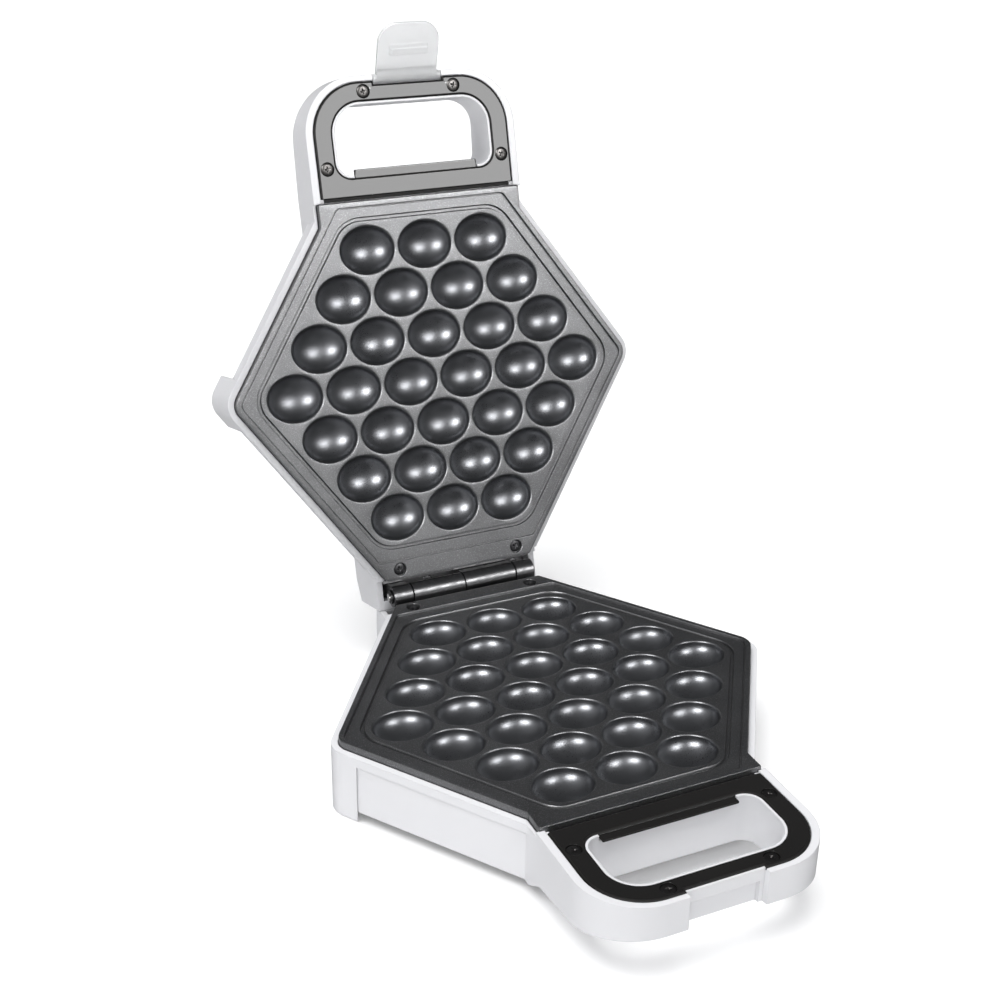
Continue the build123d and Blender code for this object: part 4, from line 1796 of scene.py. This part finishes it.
@dataclass
class Studio:
    """Pale floor and wall in millimetres, soft lights, and the camera in metres."""

    radius: float = 9000.0
    round_sides: int = 96
    wall_height: float = 9000.0
    floor_level: float = -0.05
    softboxes: tuple[Softbox, ...] = (
        Softbox("softbox_right", 25.0, 32.0, 3.0, (0.72, 0.62), 31.0),
        Softbox("softbox_left", -39.0, 27.0, 3.0, (1.25, 1.05), 98.0),
        Softbox("fill_card", 22.0, 22.5, 3.2, (1.7, 0.86), 30.0),
        Softbox("front_wash", 10.0, 30.0, 3.0, (1.6, 1.2), 14.0, gloss=False),
    )
    sky_elevation: float = 78.0
    sky_azimuth: float = -110.0
    sky_spread: float = 60.0
    sky_strength: float = 3.1
    room_front: Colour = (0.13, 0.132, 0.137)
    room_left: Colour = (0.62, 0.625, 0.64)
    room_rear: Colour = (0.085, 0.087, 0.092)
    room_blend: tuple[float, float] = (-0.1, 0.7)
    lens: float = 56.03
    sensor: float = 36.0
    nearest: float = 0.01
    eye: tuple[float, float, float] = (-0.2942, -0.5719, 0.4382)
    forward: tuple[float, float, float] = (0.3884, 0.8107, -0.4382)
    rise: tuple[float, float, float] = (0.1695, 0.4046, 0.8987)

    def stage(self, maker: MeshMaker, name: str, finish: Finish) -> bpy.types.Object:
        """Ends a piece of the studio that belongs to no body.

        Args:
            maker: Its mesh, drawn in millimetres from the floor's face.
            name: Its name.
            finish: Its finish.

        Returns:
            The piece.
        """
        place = Matrix.Scale(MM, 4) @ Matrix.Translation((0.0, 0.0, self.floor_level))
        piece = maker.finish(name, place)
        finish.dress(piece)
        piece.visible_glossy = False
        return piece

    def floor(self) -> None:
        """A plain pale round floor with a matt paint finish."""
        maker = MeshMaker()
        maker.fill([maker.ring(circle(self.radius, self.round_sides), 0.0)])
        self.stage(maker, "floor", FLOOR_PAINT)

    def backdrop(self) -> None:
        """The pale wall round the floor, which is seen but lights and mirrors nothing."""
        maker = MeshMaker()
        edge = circle(self.radius, self.round_sides)
        maker.stack([(edge, 0.0), (edge, self.wall_height)])
        piece = self.stage(maker, "backdrop", WALL_PAINT)
        piece.visible_diffuse = False
        piece.visible_shadow = False

    def sky(self) -> None:
        """A very soft light from far above that lights the floor evenly."""
        lamp = bpy.data.lights.new("sky", "SUN")
        lamp.energy = self.sky_strength
        lamp.angle = math.radians(self.sky_spread)
        light = bpy.data.objects.new("sky", lamp)
        tilt = math.radians(90.0 - self.sky_elevation)
        light.rotation_euler = (tilt, 0.0, math.radians(self.sky_azimuth))
        light.visible_glossy = False
        bpy.context.scene.collection.objects.link(light)

    def room(self) -> None:
        """A grey room that is bright on the left of the appliance and dark behind it."""
        world = bpy.data.worlds.new("room")
        tree = ShaderTree(world)
        towards = tree.node("ShaderNodeTexCoord", output="Generated")
        side = tree.node("ShaderNodeSeparateXYZ", None, {"Vector": towards}, "X")
        depth = tree.node("ShaderNodeSeparateXYZ", None, {"Vector": towards}, "Y")
        leftwards = tree.band(0.0 - side, *self.room_blend)
        backwards = tree.band(depth, *self.room_blend)
        front = tree.mix(leftwards, self.room_front, self.room_left)
        colour = tree.mix(backwards, front, self.room_rear)
        inputs = {"Color": colour, "Strength": 1.0}
        shader = tree.node("ShaderNodeBackground", None, inputs)
        tree.node_out(shader, "ShaderNodeOutputWorld")
        bpy.context.scene.world = world

    def camera(self) -> None:
        """The camera at the photograph's angle."""
        data = bpy.data.cameras.new("photo_camera")
        data.lens = self.lens
        data.sensor_width = self.sensor
        data.clip_start = self.nearest
        eye = bpy.data.objects.new("photo_camera", data)
        back = -Vector(self.forward).normalized()
        right = Vector(self.rise).cross(back).normalized()
        up = back.cross(right)
        turn = Matrix((right, up, back)).transposed().to_4x4()
        eye.matrix_world = Matrix.Translation(self.eye) @ turn
        bpy.context.scene.collection.objects.link(eye)
        bpy.context.scene.camera = eye

    def build(self) -> None:
        """Sets up the whole studio."""
        self.floor()
        self.backdrop()
        for softbox in self.softboxes:
            softbox.hang()
        self.sky()
        self.room()
        self.camera()
        bpy.context.scene.view_settings.view_transform = "Standard"


def dress_half(half: Half, inner: str, outer: str, side: float) -> None:
    """Builds the plate, the trim and the screws of one half.

    Args:
        half: The half.
        inner: How the names of its plate and trim begin.
        outer: How the names of its hinge pieces begin.
        side: 1 or -1, the side to which its hinge screws are mirrored.
    """
    BubblePlate(half, f"{inner}_plate").dress()
    trim = HandleTrim(half, f"{inner}_handle_trim")
    trim.dress()
    trim_seat = trim.top - trim.seat_depth
    trim_node = f"{inner}_trim_screws"
    CrossScrews(half, trim_node, trim.screws, trim_seat, TRIM_SCREW, "screw_steel").dress()
    plate_x, plate_y = PLATE_SCREW
    plate_spots = ((plate_x, plate_y), (-plate_x, plate_y))
    plate_node = f"{inner}_plate_screws"
    CrossScrews(half, plate_node, plate_spots, PLATE_SCREW_SEAT, DARK_SCREW, "dark_screw").dress()
    hinge_spots = tuple((side * x, HINGE_SCREW_Y) for x in HINGE_SCREW_X)
    hinge_node = f"{outer}_hinge_screws"
    CrossScrews(half, hinge_node, hinge_spots, HINGE_SCREW_SEAT, DARK_SCREW, "dark_screw").dress()


def main() -> None:
    """Builds, dresses and reports every piece."""
    logging.basicConfig(level=logging.INFO, format="%(message)s")
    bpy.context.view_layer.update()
    Studio().build()
    dress_half(Half.BASE, "lower", "base", 1)
    dress_half(Half.LID, "upper", "lid", -1)
    cover_x, cover_y = COVER_SCREW
    cover_spots = tuple((sx * cover_x, sy * cover_y) for sx in (-1, 1) for sy in (-1, 1))
    CrossScrews(
        Half.BASE,
        "bottom_cover_screws",
        cover_spots,
        COVER_SCREW_SEAT,
        DARK_SCREW,
        "dark_screw",
        facing=-1.0,
    ).dress()
    SnapLatch().dress()
    CarriedNodes().dress()


if __name__ == "__main__":
    main()
